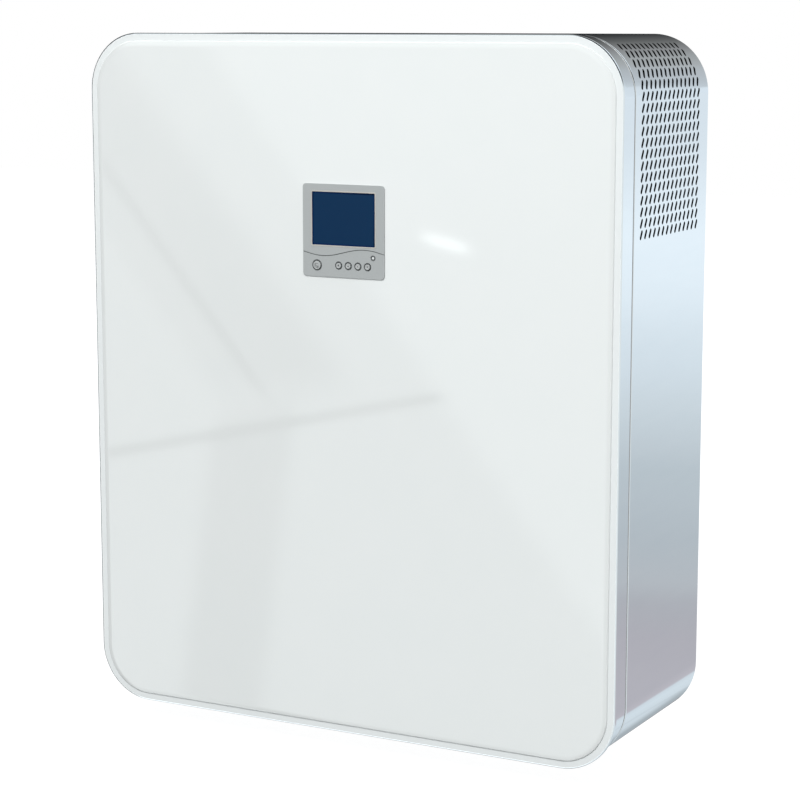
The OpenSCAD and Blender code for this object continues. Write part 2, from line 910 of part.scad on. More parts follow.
// ---------------------------------------------------------------- control box

module control_box() {
    w = box_x1 - box_x0;
    color("lightgray") difference() {
        translate([box_x0, box_front, hx_z - box_half]) cube([w, box_depth, 2 * box_half]);
        translate([box_x0 + box_wall, box_front - past, hx_z - box_half + box_wall])
            cube([w - 2 * box_wall, box_depth + past - box_wall, 2 * box_half - 2 * box_wall]);
        translate([grommet_x, 0, grommet_z]) rod_y(grommet_r, box_rear - box_wall - past, box_rear + past);
    }
}

module control_board() {
    post_front = board_y + board_t / 2;
    color("darkgreen") difference() {
        union() {
            translate([grommet_x - board_w / 2, board_y, hx_z - board_h / 2]) cube([board_w, board_t, board_h]);
            for (x = [-1, 1], z = [-1, 1])
                translate([grommet_x + x * (board_w / 2 - post_inset), 0, hx_z + z * (board_h / 2 - post_inset)])
                    rod_y(post_r, post_front, box_rear - box_wall);
        }
        translate([grommet_x, 0, grommet_z]) rod_y(grommet_r, board_y - past, board_y + board_t + past);
    }
}

// Box standing on the front of the control board, its left foot at x and z from the board's middle
module board_part(x, z, size) {
    translate([x, -size[1], z]) cube(size);
}

// Choke and capacitors on the left, relays in the middle, chip on the right
module control_parts() {
    left = parts_inset - board_w / 2;
    foot = parts_foot - board_h / 2;
    color("black") translate([grommet_x, board_y, hx_z]) {
        board_part(left, foot, choke);
        for (i = [0, 1]) board_part(left + choke[0] + parts_gap + i * 1.5 * relay[0], foot - relay_drop, relay);
        for (i = [0, 1]) translate([left + can_r + i * 2.7 * can_r, 0, foot + choke[2] + 2.7 * can_r])
            rotate([90, 0, 0]) cylinder(h = can_l, r = can_r);
        board_part(board_w / 2 - chip_inset, foot + parts_gap, chip);
    }
}

module terminal_block() {
    color("seagreen") translate([grommet_x + board_w / 2 - 10.5 - terminal[0], board_y, hx_z + 14]) difference() {
        translate([0, -terminal[1], 0]) cube(terminal);
        for (i = [0:5]) translate([4.5 + i * terminal_step, 0, terminal[2] / 2]) rod_y(2, -terminal[1] - past, -terminal[1] / 2);
    }
}

module control_lid() {
    w = box_x1 - box_x0 - lid_shift;
    color("lightgray") upright(module_front, box_front) translate([box_x1 - w / 2, hx_z])
        rounded_rect(w, 2 * box_half, 3);
}

module cable_grommet() {
    color("black") translate([grommet_x, 0, grommet_z]) difference() {
        union() {
            rod_y(grommet_r, core_rear - 4, back_y + grommet_collar);
            rod_y(grommet_r + grommet_collar, back_y, back_y + grommet_collar);
        }
        rod_y(grommet_bore, core_rear - 4 - past, back_y + grommet_collar + past);
    }
}

// Two probes in clips on the rear of the extract and outdoor air rooms
module temperature_probes() {
    places = [[-body_w / 2 + probe_inset, body_h / 2 - catch_inset], [-hx_half - probe_gap, hx_z - hx_top + probe_gap]];
    color("black") for (p = places) translate([p[0], core_mid, p[1]]) {
        translate([-probe_clip[0] / 2, -probe_clip[1], -probe_clip[2] / 2]) cube(probe_clip);
        translate([0, -probe_clip[1] - 2, -probe_l / 2]) cylinder(h = probe_l, r = probe_r);
    }
}

// ---------------------------------------------------------------- seam trim and hinges

module hinge_places() {
    for (side = [-1, 1]) translate([0, 0, side * hinge_z]) children();
}

module seam_gasket() {
    color("white") difference() {
        upright(door_rear + rubber_gap, front_y) body_band(gasket_inset, gasket_inset + gasket_w);
        hinge_places() translate([-body_w / 2 - past, door_rear, -hinge_h / 2 - past])
            cube([leaf_w + 2 * past, seam_gap + past, hinge_h + 2 * past]);
    }
}

// One knuckle of a hinge with the lead-in from its leaf
module knuckle(z, y0, y1) {
    translate([hinge_x, hinge_y, z]) cylinder(h = knuckle_l, r = knuckle_r);
    translate([hinge_x, y0, z]) cube([-body_w / 2 + past - hinge_x, y1 - y0, knuckle_l]);
}

module leaf(y0, y1) {
    translate([-body_w / 2 + seat, y0, -hinge_h / 2]) cube([leaf_w - seat, y1 - y0, hinge_h]);
}

module casing_hinges() {
    color("silver") hinge_places() {
        difference() {
            union() {
                leaf(front_y - leaf_t, front_y);
                knuckle(-hinge_h / 2, front_y - leaf_t, front_y);
                knuckle(hinge_h / 2 - knuckle_l, front_y - leaf_t, front_y);
            }
            translate([hinge_x, hinge_y, -hinge_h]) cylinder(h = 2 * hinge_h, r = hinge_pin_r);
        }
        translate([hinge_x, hinge_y, -hinge_h / 2]) cylinder(h = hinge_h, r = hinge_pin_r);
        for (z = [-hinge_h / 2 - cap_h, hinge_h / 2]) translate([hinge_x, hinge_y, z]) cylinder(h = cap_h, r = cap_r);
    }
}

module door_hinges() {
    middle = knuckle_l - 2 * seat;
    color("silver") hinge_places() difference() {
        union() {
            leaf(door_rear, door_rear + leaf_t);
            translate([hinge_x, hinge_y, -middle / 2]) cylinder(h = middle, r = knuckle_r);
            translate([hinge_x, door_rear, -middle / 2]) cube([-body_w / 2 + past - hinge_x, leaf_t, middle]);
        }
        translate([hinge_x, hinge_y, -hinge_h]) cylinder(h = 2 * hinge_h, r = hinge_pin_r + pin_fit);
    }
}

// Small block in the seam, on the side named by x, from depth y0 to y1
module seam_block(side, z, l, y0, y1) {
    x = body_w / 2 - trim_inset - trim_w;
    mirror([side < 0 ? 1 : 0, 0, 0]) translate([x, y0, z - l / 2]) cube([trim_w, y1 - y0, l]);
}

module catch_magnets() {
    color("dimgray") for (s = [-1, 1])
        seam_block(1, s * hinge_z, catch_l, door_rear + strike_t + rubber_gap, front_y);
}

module strike_plates() {
    color("silver") for (s = [-1, 1]) seam_block(1, s * hinge_z, catch_l, door_rear, door_rear + strike_t);
}

module contact_strip() {
    color("gold") seam_block(-1, hx_z, strip_l, front_y - strip_t, front_y);
}

module contact_pins() {
    color("gold") for (i = [-1.5:1:1.5])
        translate([-body_w / 2 + trim_inset + trim_w / 2, 0, hx_z + i * 6])
            rod_y(0.8, door_rear, front_y - strip_t - rubber_gap);
}

// ---------------------------------------------------------------- door

module door_rim() {
    color("gainsboro") {
        upright(frame_rear, door_rear) body_band(0, sheet_t);
        upright(door_rear - sheet_t, door_rear) body_band(0, door_lip);
    }
}

module door_frame() {
    color("white") {
        upright(frame_front, panel_rear) difference() {
            front_outline(0);
            front_outline(frame_border - seat / 2);
        }
        upright(panel_rear, frame_rear) difference() {
            front_outline(0);
            front_outline(frame_border + panel_ledge);
        }
    }
}

module at_bezel() {
    translate([bezel_cx, 0, bezel_cz]) children();
}

module front_panel() {
    color("white") difference() {
        upright(panel_front, panel_rear) front_outline(frame_border);
        at_bezel() upright(panel_front - past, panel_rear + past)
            rounded_rect(skirt_w + 2 * seat, skirt_h + 2 * seat, 2);
    }
}

module door_insulation() {
    color("lightgray") difference() {
        upright(frame_rear, liner_front) body_outline(sheet_t + slip);
        at_bezel() upright(frame_rear - past, skirt_rear + 1) square([skirt_w + 2 * slip, skirt_h + 2 * slip], center = true);
    }
}

module door_liner() {
    color("whitesmoke") upright(liner_front, liner_rear) body_outline(sheet_t + seat);
}

// Sine line across the control panel, as a thin closed band
module wave_line() {
    half = bezel_w / 2 + past;
    count = 40;
    xs = [for (i = [0:count]) -half + 2 * half * i / count];
    polygon(concat(
        [for (x = xs) [x, wave_z + wave_rise * sin(360 * x / bezel_w) + wave_w / 2]],
        [for (i = [count:-1:0]) [xs[i], wave_z + wave_rise * sin(360 * xs[i] / bezel_w) - wave_w / 2]]
    ));
}

module control_bezel() {
    color("silver") at_bezel() difference() {
        union() {
            upright(bezel_front, panel_front) rounded_rect(bezel_w, bezel_h, bezel_corner);
            upright(panel_front, skirt_rear) rounded_rect(skirt_w, skirt_h, 2);
        }
        upright(bezel_back, skirt_rear + past) square([skirt_w - 2 * skirt_wall, skirt_h - 2 * skirt_wall], center = true);
        upright(bezel_front - past, bezel_back + past) {
            translate([0, lcd_lift]) rounded_rect(lcd_w, lcd_h, 1);
            translate([power_x, power_z]) circle(power_r + guide_fit);
            for (p = key_places) translate(p) circle(key_r + guide_fit);
            translate([light_x, light_z]) circle(light_r + guide_fit);
        }
        upright(bezel_front - past, bezel_front + groove) {
            wave_line();
            translate([power_x, power_z]) circle(power_r + ring_w);
            for (p = key_places) translate(p) circle(key_r + ring_w);
        }
    }
}

module display_glass() {
    color("midnightblue") at_bezel() upright(bezel_front + groove, bezel_back) translate([0, lcd_lift])
        rounded_rect(lcd_w - seat, lcd_h - seat, 1);
}

module display_module() {
    color("darkslategray") at_bezel() upright(bezel_back, display_board_y) translate([0, lcd_lift])
        square([lcd_w + module_rim, lcd_h + module_rim - 0.3], center = true);
}

module display_board() {
    w = skirt_w - 2 * skirt_wall - 2 * seat;
    h = skirt_h - 2 * skirt_wall - 2 * seat;
    color("darkgreen") at_bezel() upright(display_board_y, display_board_y + board_t) square([w, h], center = true);
}

module display_switches() {
    size = 5.6;
    color("black") at_bezel() upright(display_board_y + switch_h, display_board_y)
        for (p = concat([[power_x, power_z]], key_places)) translate(p) square(size, center = true);
}

module status_light() {
    color("lightgray") at_bezel() translate([light_x, 0, light_z]) {
        rod_y(light_r, bezel_front - 0.2, bezel_back);
        rod_y(light_r + 0.4, bezel_back, display_board_y);
    }
}

// Round button with a foot behind the panel that keeps it in its hole
module button(place, r) {
    at_bezel() translate([place[0], 0, place[1]]) {
        rod_y(r, bezel_front - button_rise, bezel_back + button_foot);
        rod_y(r + 0.8, bezel_back, bezel_back + button_foot);
    }
}

module power_button() { color("silver") button([power_x, power_z], power_r); }

module key_1() { color("silver") button(key_places[0], key_r); }

module key_2() { color("silver") button(key_places[1], key_r); }

module key_3() { color("silver") button(key_places[2], key_r); }

module key_4() { color("silver") button(key_places[3], key_r); }

casing_wrapper();
right_grille();
left_grille();
back_plate();
wall_rail();
core_back();
core_upper();
core_lower();
inner_cover();
cover_screws();
exchanger_ends();
exchanger_edges();
exchanger_plates();
exchanger_strap();
filter_frames();
filter_media();
supply_fan_housing();
supply_fan_motor();
exhaust_fan_housing();
exhaust_fan_motor();
inlet_rings();
supply_wheel();
exhaust_wheel();
outdoor_spigot();
exhaust_spigot();
outdoor_flap();
exhaust_flap();
drain_pan();
drain_tube();
control_box();
control_board();
control_parts();
terminal_block();
control_lid();
cable_grommet();
temperature_probes();
seam_gasket();
casing_hinges();
catch_magnets();
contact_strip();
door_rim();
door_frame();
front_panel();
door_insulation();
door_liner();
control_bezel();
display_glass();
display_module();
display_board();
display_switches();
status_light();
door_hinges();
strike_plates();
contact_pins();
power_button();
key_1();
key_2();
key_3();
key_4();
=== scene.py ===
"""Dressed model of a wall-hung room heat recovery unit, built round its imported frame.

Row frame, in metres: X to the right seen from the front, Y into the wall, Z up.
"""

import itertools
import json
import logging
import math
from collections.abc import Callable, Iterable, Sequence
from dataclasses import dataclass, field
from enum import Enum

import bpy
from bpy.types import ID, Material, Mesh, Node, NodeSocket, NodeTree, Object, World
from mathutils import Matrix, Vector

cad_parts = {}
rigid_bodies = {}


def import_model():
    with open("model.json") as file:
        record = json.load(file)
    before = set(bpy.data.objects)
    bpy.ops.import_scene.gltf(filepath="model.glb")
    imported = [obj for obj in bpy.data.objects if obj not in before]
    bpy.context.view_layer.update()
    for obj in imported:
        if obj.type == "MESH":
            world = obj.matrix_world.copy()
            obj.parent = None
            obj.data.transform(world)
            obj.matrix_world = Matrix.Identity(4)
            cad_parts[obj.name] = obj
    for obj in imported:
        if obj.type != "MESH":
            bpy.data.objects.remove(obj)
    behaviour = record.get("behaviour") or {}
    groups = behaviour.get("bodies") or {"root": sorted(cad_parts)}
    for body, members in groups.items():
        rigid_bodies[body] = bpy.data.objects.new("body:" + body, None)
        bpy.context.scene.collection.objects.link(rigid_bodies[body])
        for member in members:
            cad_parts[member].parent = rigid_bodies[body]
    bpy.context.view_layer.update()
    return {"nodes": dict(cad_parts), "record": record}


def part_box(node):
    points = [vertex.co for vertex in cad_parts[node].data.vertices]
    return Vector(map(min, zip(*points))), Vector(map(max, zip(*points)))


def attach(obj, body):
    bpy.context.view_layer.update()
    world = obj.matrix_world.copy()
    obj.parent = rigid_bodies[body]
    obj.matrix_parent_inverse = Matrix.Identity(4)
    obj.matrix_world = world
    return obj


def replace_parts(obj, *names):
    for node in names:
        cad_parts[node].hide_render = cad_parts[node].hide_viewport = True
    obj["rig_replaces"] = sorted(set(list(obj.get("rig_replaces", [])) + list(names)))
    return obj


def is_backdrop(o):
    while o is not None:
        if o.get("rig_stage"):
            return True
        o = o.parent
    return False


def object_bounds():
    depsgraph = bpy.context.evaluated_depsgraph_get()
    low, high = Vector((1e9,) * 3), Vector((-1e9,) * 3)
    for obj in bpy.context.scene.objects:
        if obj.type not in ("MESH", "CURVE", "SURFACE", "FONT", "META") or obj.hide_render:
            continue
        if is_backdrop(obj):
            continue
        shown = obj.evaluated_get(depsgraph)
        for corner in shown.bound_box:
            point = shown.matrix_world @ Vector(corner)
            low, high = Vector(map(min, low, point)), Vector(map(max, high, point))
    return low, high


LOG = logging.getLogger("heat_recovery_unit")
MM = 0.001
# Places of the points along an evenly stepped quarter turn, in degrees
QUARTER = tuple(i * 5.0 for i in range(19))
# Kinds of node that are used most: arithmetic, one span to another, a mix of two shaders, and a room's light
MATH, SPAN, MIX, LIGHT = "ShaderNodeMath", "ShaderNodeMapRange", "ShaderNodeMixShader", "ShaderNodeBackground"
Rgba = tuple[float, float, float, float]
# One point of an edge profile: distance outwards, depth, and the shading normal's two parts
Knot = tuple[float, float, float, float]
# One place round an outline: the point that the edge turns about, and the way out
Station = tuple[float, float, float, float]


def linear(code: str) -> Rgba:
    """Turns an sRGB hex colour to linear light.

    Args:
        code: six hex digits, such as "E6EBEB".

    Returns:
        Red, green, blue and an alpha of 1.
    """
    parts = [int(code[i : i + 2], 16) / 255 for i in (0, 2, 4)]
    light = [c / 12.92 if c <= 0.04045 else ((c + 0.055) / 1.055) ** 2.4 for c in parts]
    return (light[0], light[1], light[2], 1.0)


def add(tree: NodeTree, kind: str, inputs: dict | Sequence = (), **settings: object) -> Node:
    """Adds one node with its settings, values and links.

    Args:
        tree: the node tree that takes the node.
        kind: the node's type name.
        inputs: value of each input, by socket name or number, or in the sockets' order. An output is linked,
            and so is a node, by its first output.
        **settings: attributes of the node.

    Returns:
        The new node.
    """
    made = tree.nodes.new(kind)
    for name, value in settings.items():
        setattr(made, name, value)
    for key, value in inputs.items() if isinstance(inputs, dict) else enumerate(inputs):
        if isinstance(value, Node):
            value = value.outputs[0]
        if isinstance(value, NodeSocket):
            tree.links.new(value, made.inputs[key])
        else:
            made.inputs[key].default_value = value
    return made


def blank(owner: Material | World) -> NodeTree:
    """Turns the nodes of a material or a world on.

    Args:
        owner: the material or world.

    Returns:
        Its node tree, emptied.
    """
    owner.use_nodes = True
    owner.node_tree.nodes.clear()
    return owner.node_tree


def put(name: str, data: ID) -> Object:
    """Puts an object in the scene.

    Args:
        name: the object's name.
        data: its mesh, camera or lamp data.

    Returns:
        The object, at the origin.
    """
    made = bpy.data.objects.new(name, data)
    bpy.context.scene.collection.objects.link(made)
    return made


# ---------------- finishes


BLACK: Rgba = (0, 0, 0, 1)
WHITE: Rgba = (1, 1, 1, 1)
# Width of the seam between foam beads, as a share of a bead
BEAD_SEAM = 0.22
# Grain sizes in one wave of the woven tape, and in one brick between the board's tracks
WAVE_GRAINS, BRICK_GRAINS = 6, 4


class Grain(Enum):
    """How a surface was made, which gives its fine pattern."""

    MOULDED = "moulded"
    PAINTED = "painted"
    POLISHED = "polished"
    ROLLED = "rolled"
    SPANGLE = "zinc crystals"
    BEADS = "fused foam beads"
    FIBRES = "laid fibres"
    WOVEN = "woven tape"
    TRACKS = "copper tracks under lacquer"


@dataclass(frozen=True)
class Finish:
    """One material: its colours, its shine and the size of its pattern."""

    name: str
    tint: str
    shade: str
    grain: Grain
    grain_mm: float
    rough: tuple[float, float]
    relief_mm: float = 0.0
    metallic: float = 0.0
    ior: float = 1.5
    coat: float = 0.0
    sheen: float = 0.0

    def pattern(self, tree: NodeTree) -> NodeSocket:
        """Adds the nodes that draw the surface's pattern.

        Args:
            tree: the material's node tree.

        Returns:
            The output that runs from 0 to 1 over the surface.
        """
        place = add(tree, "ShaderNodeTexCoord").outputs["Object"]
        per_metre = 1000 / self.grain_mm
        scaled = {"Vector": place, "Scale": per_metre}
        if self.grain is Grain.SPANGLE:
            cells = add(tree, "ShaderNodeTexVoronoi", scaled)
            return add(tree, "ShaderNodeSeparateColor", (cells.outputs["Color"],)).outputs[0]
        if self.grain is Grain.BEADS:
            cells = add(tree, "ShaderNodeTexVoronoi", scaled, feature="DISTANCE_TO_EDGE")
            return add(tree, SPAN, (cells, 0.0, BEAD_SEAM), interpolation_type="SMOOTHSTEP").outputs[0]
        if self.grain is Grain.WOVEN:
            bands = {"Vector": place, "Scale": per_metre / WAVE_GRAINS}
            across, along = (add(tree, "ShaderNodeTexWave", bands, bands_direction=way) for way in ("X", "Z"))
            return add(tree, MATH, (across.outputs[1], along.outputs[1]), operation="MULTIPLY").outputs[0]
        if self.grain is Grain.TRACKS:
            return add(tree, "ShaderNodeTexBrick", {
                "Vector": place, "Scale": per_metre / BRICK_GRAINS, "Mortar Size": 0.06,
                "Color1": BLACK, "Color2": BLACK, "Mortar": WHITE,
            }).outputs[0]
        stretch = {Grain.POLISHED: (1, 0.15, 1), Grain.ROLLED: (0.05, 1, 1), Grain.FIBRES: (1, 0.3, 0.3)}
        drawn = stretch.get(self.grain, (1, 1, 1))
        turned = add(tree, "ShaderNodeMapping", {"Vector": place, "Scale": drawn})
        noise = add(tree, "ShaderNodeTexNoise", {"Vector": turned, "Scale": per_metre, "Detail": 3.0})
        return noise.outputs[0]

    def build(self) -> Material:
        """Makes the material with its node tree.

        Returns:
            The material.
        """
        made = bpy.data.materials.new(self.name)
        tree = blank(made)
        vary = self.pattern(tree)
        colours = {0: vary, 6: linear(self.shade), 7: linear(self.tint)}
        colour = add(tree, "ShaderNodeMix", colours, data_type="RGBA")
        gloss = add(tree, SPAN, (vary, 0.0, 1.0, *self.rough))
        shader = add(tree, "ShaderNodeBsdfPrincipled", {
            "Base Color": colour.outputs[2], "Roughness": gloss, "Metallic": self.metallic,
            "Coat Weight": self.coat, "Sheen Weight": self.sheen,
        })
        if not self.metallic:
            shader.inputs["IOR"].default_value = self.ior
        if self.relief_mm:
            relief = {"Height": vary, "Distance": self.relief_mm * MM, "Strength": 1.0}
            bump = add(tree, "ShaderNodeBump", relief)
            tree.links.new(bump.outputs[0], shader.inputs["Normal"])
        add(tree, "ShaderNodeOutputMaterial", (shader,))
        return made


# Each finish by the record's slot that it dresses. Mould, roll and fibre grains are finer on the real parts,
# and are drawn at these sizes to be coarse enough to show
FINISHES: dict[str, Finish] = {
    # Mirror-polished stainless sheet: reflections stay sharp, with faint roll waves
    "polished_steel": Finish(
        "polished_stainless_sheet", "F4F5F7", "EFF1F4", Grain.POLISHED, 9.0, (0.045, 0.08), metallic=1.0),
    # Sheared edge of the punched slots: rough, with a dark oxide, beside the mirror sheet
    "slot_edge": Finish(
        "sheared_stainless_edge", "2C2E31", "242629", Grain.ROLLED, 0.5, (0.5, 0.6), metallic=1.0),
    # Hot-dip zinc: crystals make a patchwork of light and dark grey with a soft shine
    "galvanised_steel": Finish(
        "galvanised_steel_sheet", "C3C8CB", "9FA6AA", Grain.SPANGLE, 7.0, (0.28, 0.42), 0.01, metallic=1.0),
    # Thin zinc plating over rolled sheet: silvery, with slightly blurred reflections
    "zinc_steel": Finish(
        "zinc_plated_steel", "C9CCD0", "B4B8BE", Grain.ROLLED, 1.2, (0.22, 0.34), 0.004, metallic=1.0),
    # Glossy cast acrylic, white on the back: a hard clear shine over a cool white
    "white_acrylic": Finish(
        "white_cast_acrylic", "E6E9E8", "E3E7E6", Grain.PAINTED, 40.0, (0.02, 0.03), ior=1.49, coat=1.0),
    # Hard plastic from a polished mould: clean white, with reflections a little softer than the panel's
    "white_frame": Finish("white_glossy_abs", "E8ECEC", "E4E8E8", Grain.MOULDED, 6.0, (0.12, 0.18), ior=1.53),
    # Beads fused in a mould: dull and dark, with fine seams between the beads
    "grey_foam": Finish(
        "dark_expanded_polypropylene", "3A3D40", "24272A", Grain.BEADS, 4.0, (0.75, 0.9), 0.25),
    # Closed-cell foam: soft dull grey with fine pores
    "door_foam": Finish("grey_polyethylene_foam", "A9ACAC", "8E9292", Grain.BEADS, 1.6, (0.8, 0.9), 0.1),
    # Baked powder: an even satin white with a faint orange-peel skin
    "white_sheet": Finish("powder_coated_sheet", "E3E6E6", "DADDDD", Grain.PAINTED, 1.2, (0.35, 0.45), 0.02),
    # Fine mould grain: near black with a low, broken shine
    "black_plastic": Finish("black_moulded_abs", "232528", "1A1C1E", Grain.MOULDED, 0.8, (0.42, 0.55), 0.01),
    # Vacuum-formed film: pale, slightly milky and satin
    "exchanger_foil": Finish(
        "formed_polystyrene_film", "C9CDD1", "B5BABF", Grain.ROLLED, 2.5, (0.3, 0.42), 0.05, ior=1.59),
    # Woven tape: dull blue, with a check of threads that catches light at a slant
    "blue_strap": Finish(
        "woven_nylon_tape", "2F5F9E", "1E4374", Grain.WOVEN, 1.6, (0.6, 0.75), 0.15, sheen=0.3),
    # Pressed card: dull off-white with fibres that lie one way
    "filter_frame": Finish("white_filter_card", "E8E8E2", "DEDED6", Grain.FIBRES, 1.5, (0.75, 0.85), 0.02),
    # Matted fibres: pale and dull, and soft at its edges
    "filter_fleece": Finish(
        "pleated_filter_fleece", "E2E8EB", "CCD3D7", Grain.FIBRES, 0.7, (0.85, 0.95), 0.08, sheen=0.3),
    # Glass fibres near the skin: dark grey, dull and slightly uneven
    "fan_housing": Finish("glass_filled_nylon", "34393C", "2B2F32", Grain.MOULDED, 1.0, (0.5, 0.65), 0.02),
    # Plain nylon: mid grey with a satin shine
    "fan_wheel": Finish("grey_nylon", "55595C", "4A4E51", Grain.MOULDED, 0.8, (0.42, 0.55), 0.01),
    # Cast in a die and left bare: grey metal with a matt skin
    "motor_steel": Finish(
        "die_cast_aluminium", "9B9FA3", "85898D", Grain.MOULDED, 0.8, (0.35, 0.48), 0.01, metallic=1.0),
    # Plated after pressing: bright silver with a soft shine
    "inlet_ring": Finish(
        "pressed_zinc_plated_steel", "C4C8CC", "B3B8BC", Grain.ROLLED, 1.5, (0.25, 0.36), 0.004,
        metallic=1.0),
    # Natural polypropylene shine: waxy mid grey
    "flap_plastic": Finish("grey_polypropylene", "8C9092", "818587", Grain.MOULDED, 1.2, (0.42, 0.52), 0.01),
    # The same plastic in slate: waxy and a little blue
    "drain_plastic": Finish("slate_polypropylene", "646D76", "59616A", Grain.MOULDED, 1.2, (0.4, 0.5), 0.01),
    # Fine mould grain: pale grey and satin
    "box_plastic": Finish("light_grey_abs", "C7CACA", "BDC0C0", Grain.MOULDED, 0.9, (0.42, 0.55), 0.02),
    # Lacquer over copper: glossy green with lighter tracks
    "circuit_board": Finish("green_circuit_board", "1F6A3F", "134A2A", Grain.TRACKS, 2.4, (0.25, 0.4), 0.03),
    # Moulded resin: near black and dull
    "electronic_parts": Finish("moulded_epoxy", "2A2B2D", "1F2021", Grain.MOULDED, 0.6, (0.45, 0.6), 0.01),
    # Plain nylon: strong green with a satin shine
    "terminal_plastic": Finish(
        "green_nylon_terminal", "2F7D5B", "276A4D", Grain.MOULDED, 0.8, (0.4, 0.5), 0.01),
    # Bare rubber: soft black with hardly a shine
    "black_rubber": Finish("black_rubber", "26282A", "1C1E1F", Grain.MOULDED, 0.9, (0.6, 0.75), 0.03),
    # Light silicone profile in the seam, which shows as a pale line
    "gasket_rubber": Finish(
        "pale_silicone_gasket", "DCDFDF", "D0D3D3", Grain.MOULDED, 1.5, (0.45, 0.55), 0.02),
    # Pressed and fired powder: dark grey and dull, like stone
    "magnet": Finish("ferrite_magnet", "3B3C3F", "303134", Grain.MOULDED, 1.0, (0.5, 0.65), 0.02),
    # A thin gold layer on brass: warm, bright metal
    "contact_brass": Finish(
        "gold_plated_brass", "D9B765", "C8A352", Grain.ROLLED, 0.8, (0.2, 0.3), 0.002, metallic=1.0),
    # Very fine mould grain: an even satin grey that blurs reflections away
    "bezel_grey": Finish("satin_grey_abs", "ADB1B1", "A7ABAB", Grain.MOULDED, 0.9, (0.42, 0.52), 0.006),
    # Coated glass over a dark display: deep blue that hardly mirrors
    "display_glass": Finish(
        "dark_blue_antireflection_glass", "0A2E4F", "092C4D", Grain.PAINTED, 12.0, (0.16, 0.22), ior=1.16),
    # Frosted clear plastic: pale, with a soft highlight
    "light_lens": Finish(
        "frosted_polycarbonate", "F0F3F3", "E4E8E8", Grain.MOULDED, 0.5, (0.3, 0.4), ior=1.58),
    # Finer mould grain than the panel's: nearly the same grey, a little glossier
    "key_grey": Finish("satin_grey_key_abs", "B4B7B7", "ACAFAF", Grain.MOULDED, 0.7, (0.3, 0.4), 0.006),
    # Small parts of the control panel that only the dressed model has
    # Mould-coloured plastic: a warmer grey than the panel, with a satin shine
    "window_trim": Finish("warm_grey_abs_trim", "BDBBB5", "B5B3AD", Grain.MOULDED, 0.8, (0.35, 0.45), 0.004),
    # Flat navy on the glass round the window's edge: painted shade of the recess
    "window_edge_shade": Finish("navy_painted_edge_shade", "04224A", "032046", Grain.MOULDED, 0.6, (0.4, 0.5), ior=1.16),
    # Pad-printed ink: flat dark grey
    "key_print": Finish("dark_pad_print", "55595A", "4B4F50", Grain.MOULDED, 0.3, (0.5, 0.6)),
    # A charcoal ring with hardly a shine, set deep in the gap round each key: painted shade of that recess
    "key_ring_shade": Finish("painted_key_ring_shade", "4A4D4D", "424545", Grain.MOULDED, 0.5, (0.55, 0.65)),
    # Soft elastomer in a lighter mix: dull dark grey, for the status light's collar; the same grey in the
    # floors of the bezel's fine grooves is painted shade
    "dark_collar_and_groove_shade": Finish("dark_elastomer_and_groove_shade", "5E6262", "545858", Grain.MOULDED, 0.5, (0.55, 0.65)),
}


class Store:
    """The finished materials, by slot name."""

    def __init__(self) -> None:
        """Builds every material once."""
        self.materials = {slot: finish.build() for slot, finish in FINISHES.items()}

    def pick(self, *slots: str) -> list[Material]:
        """Gives the materials of some slots, in their order."""
        return [self.materials[slot] for slot in slots]

    def dress(self, target: Object, slot: str) -> None:
        """Gives an object one slot's material."""
        target.data.materials.clear()
        target.data.materials.append(self.materials[slot])


# ---------------- meshes


class Skin:
    """A mesh put together from faces whose corners carry their own shading normals."""

    # Points in one cell of this many metres are one point, also this share of a cell past its walls
    CELL = 1e-5
    BLUR = 0.02

    def __init__(self) -> None:
        """Starts an empty mesh."""
        self.points: list[tuple[float, ...]] = []
        self.faces: list[list[int]] = []
        self.normals: list[Vector] = []
        self.slots: list[int] = []
        self._cells: dict[tuple[int, ...], int] = {}

    def _corner(self, point: Sequence[float]) -> int:
        """Finds or adds a point, so that faces that meet share it.

        Args:
            point: the place, in metres.

        Returns:
            The point's number.
        """
        cells = [c / self.CELL for c in point]
        spans = [{math.floor(c - self.BLUR), math.floor(c + self.BLUR)} for c in cells]
        keys = list(itertools.product(*spans))
        for key in keys:
            if key in self._cells:
                return self._cells[key]
        self.points.append(tuple(point))
        for key in keys:
            self._cells[key] = len(self.points) - 1
        return len(self.points) - 1

    def face(self, corners: Sequence[tuple[Sequence[float], Sequence[float]]], slot: int = 0) -> None:
        """Adds a face, turned so that it looks the way that its normals do.

        Args:
            corners: point and normal of each corner, in order round the face.
            slot: number of the material slot.
        """
        kept: list[tuple[int, Vector]] = []
        for point, normal in corners:
            index = self._corner(point)
            if index not in [k[0] for k in kept]:
                kept.append((index, Vector(normal)))
        if len(kept) < 3:
            return
        ring = [Vector(self.points[k[0]]) for k in kept]
        flat = sum(((a - ring[0]).cross(b - ring[0]) for a, b in zip(ring[1:], ring[2:])), Vector())
        if flat.dot(sum((k[1] for k in kept), Vector())) < 0:
            kept.reverse()
        self.faces.append([k[0] for k in kept])
        self.normals.extend(k[1] for k in kept)
        self.slots.append(slot)

    def flat(self, points: Sequence[Sequence[float]], normal: Sequence[float], slot: int = 0) -> None:
        """Adds a face with one normal for all its corners."""
        self.face([(p, normal) for p in points], slot)

    def build(self, name: str, materials: Sequence[Material]) -> Object:
        """Turns the faces into an object in the scene.

        Args:
            name: the piece's name.
            materials: its materials, in slot order.

        Returns:
            The object, at the origin.
        """
        mesh = bpy.data.meshes.new(name)
        mesh.from_pydata(self.points, [], self.faces)
        for material in materials:
            mesh.materials.append(material)
        mesh.polygons.foreach_set("material_index", self.slots)
        mesh.polygons.foreach_set("use_smooth", [True] * len(self.faces))
        mesh.normals_split_custom_set([n.normalized() for n in self.normals])
        return put(name, mesh)


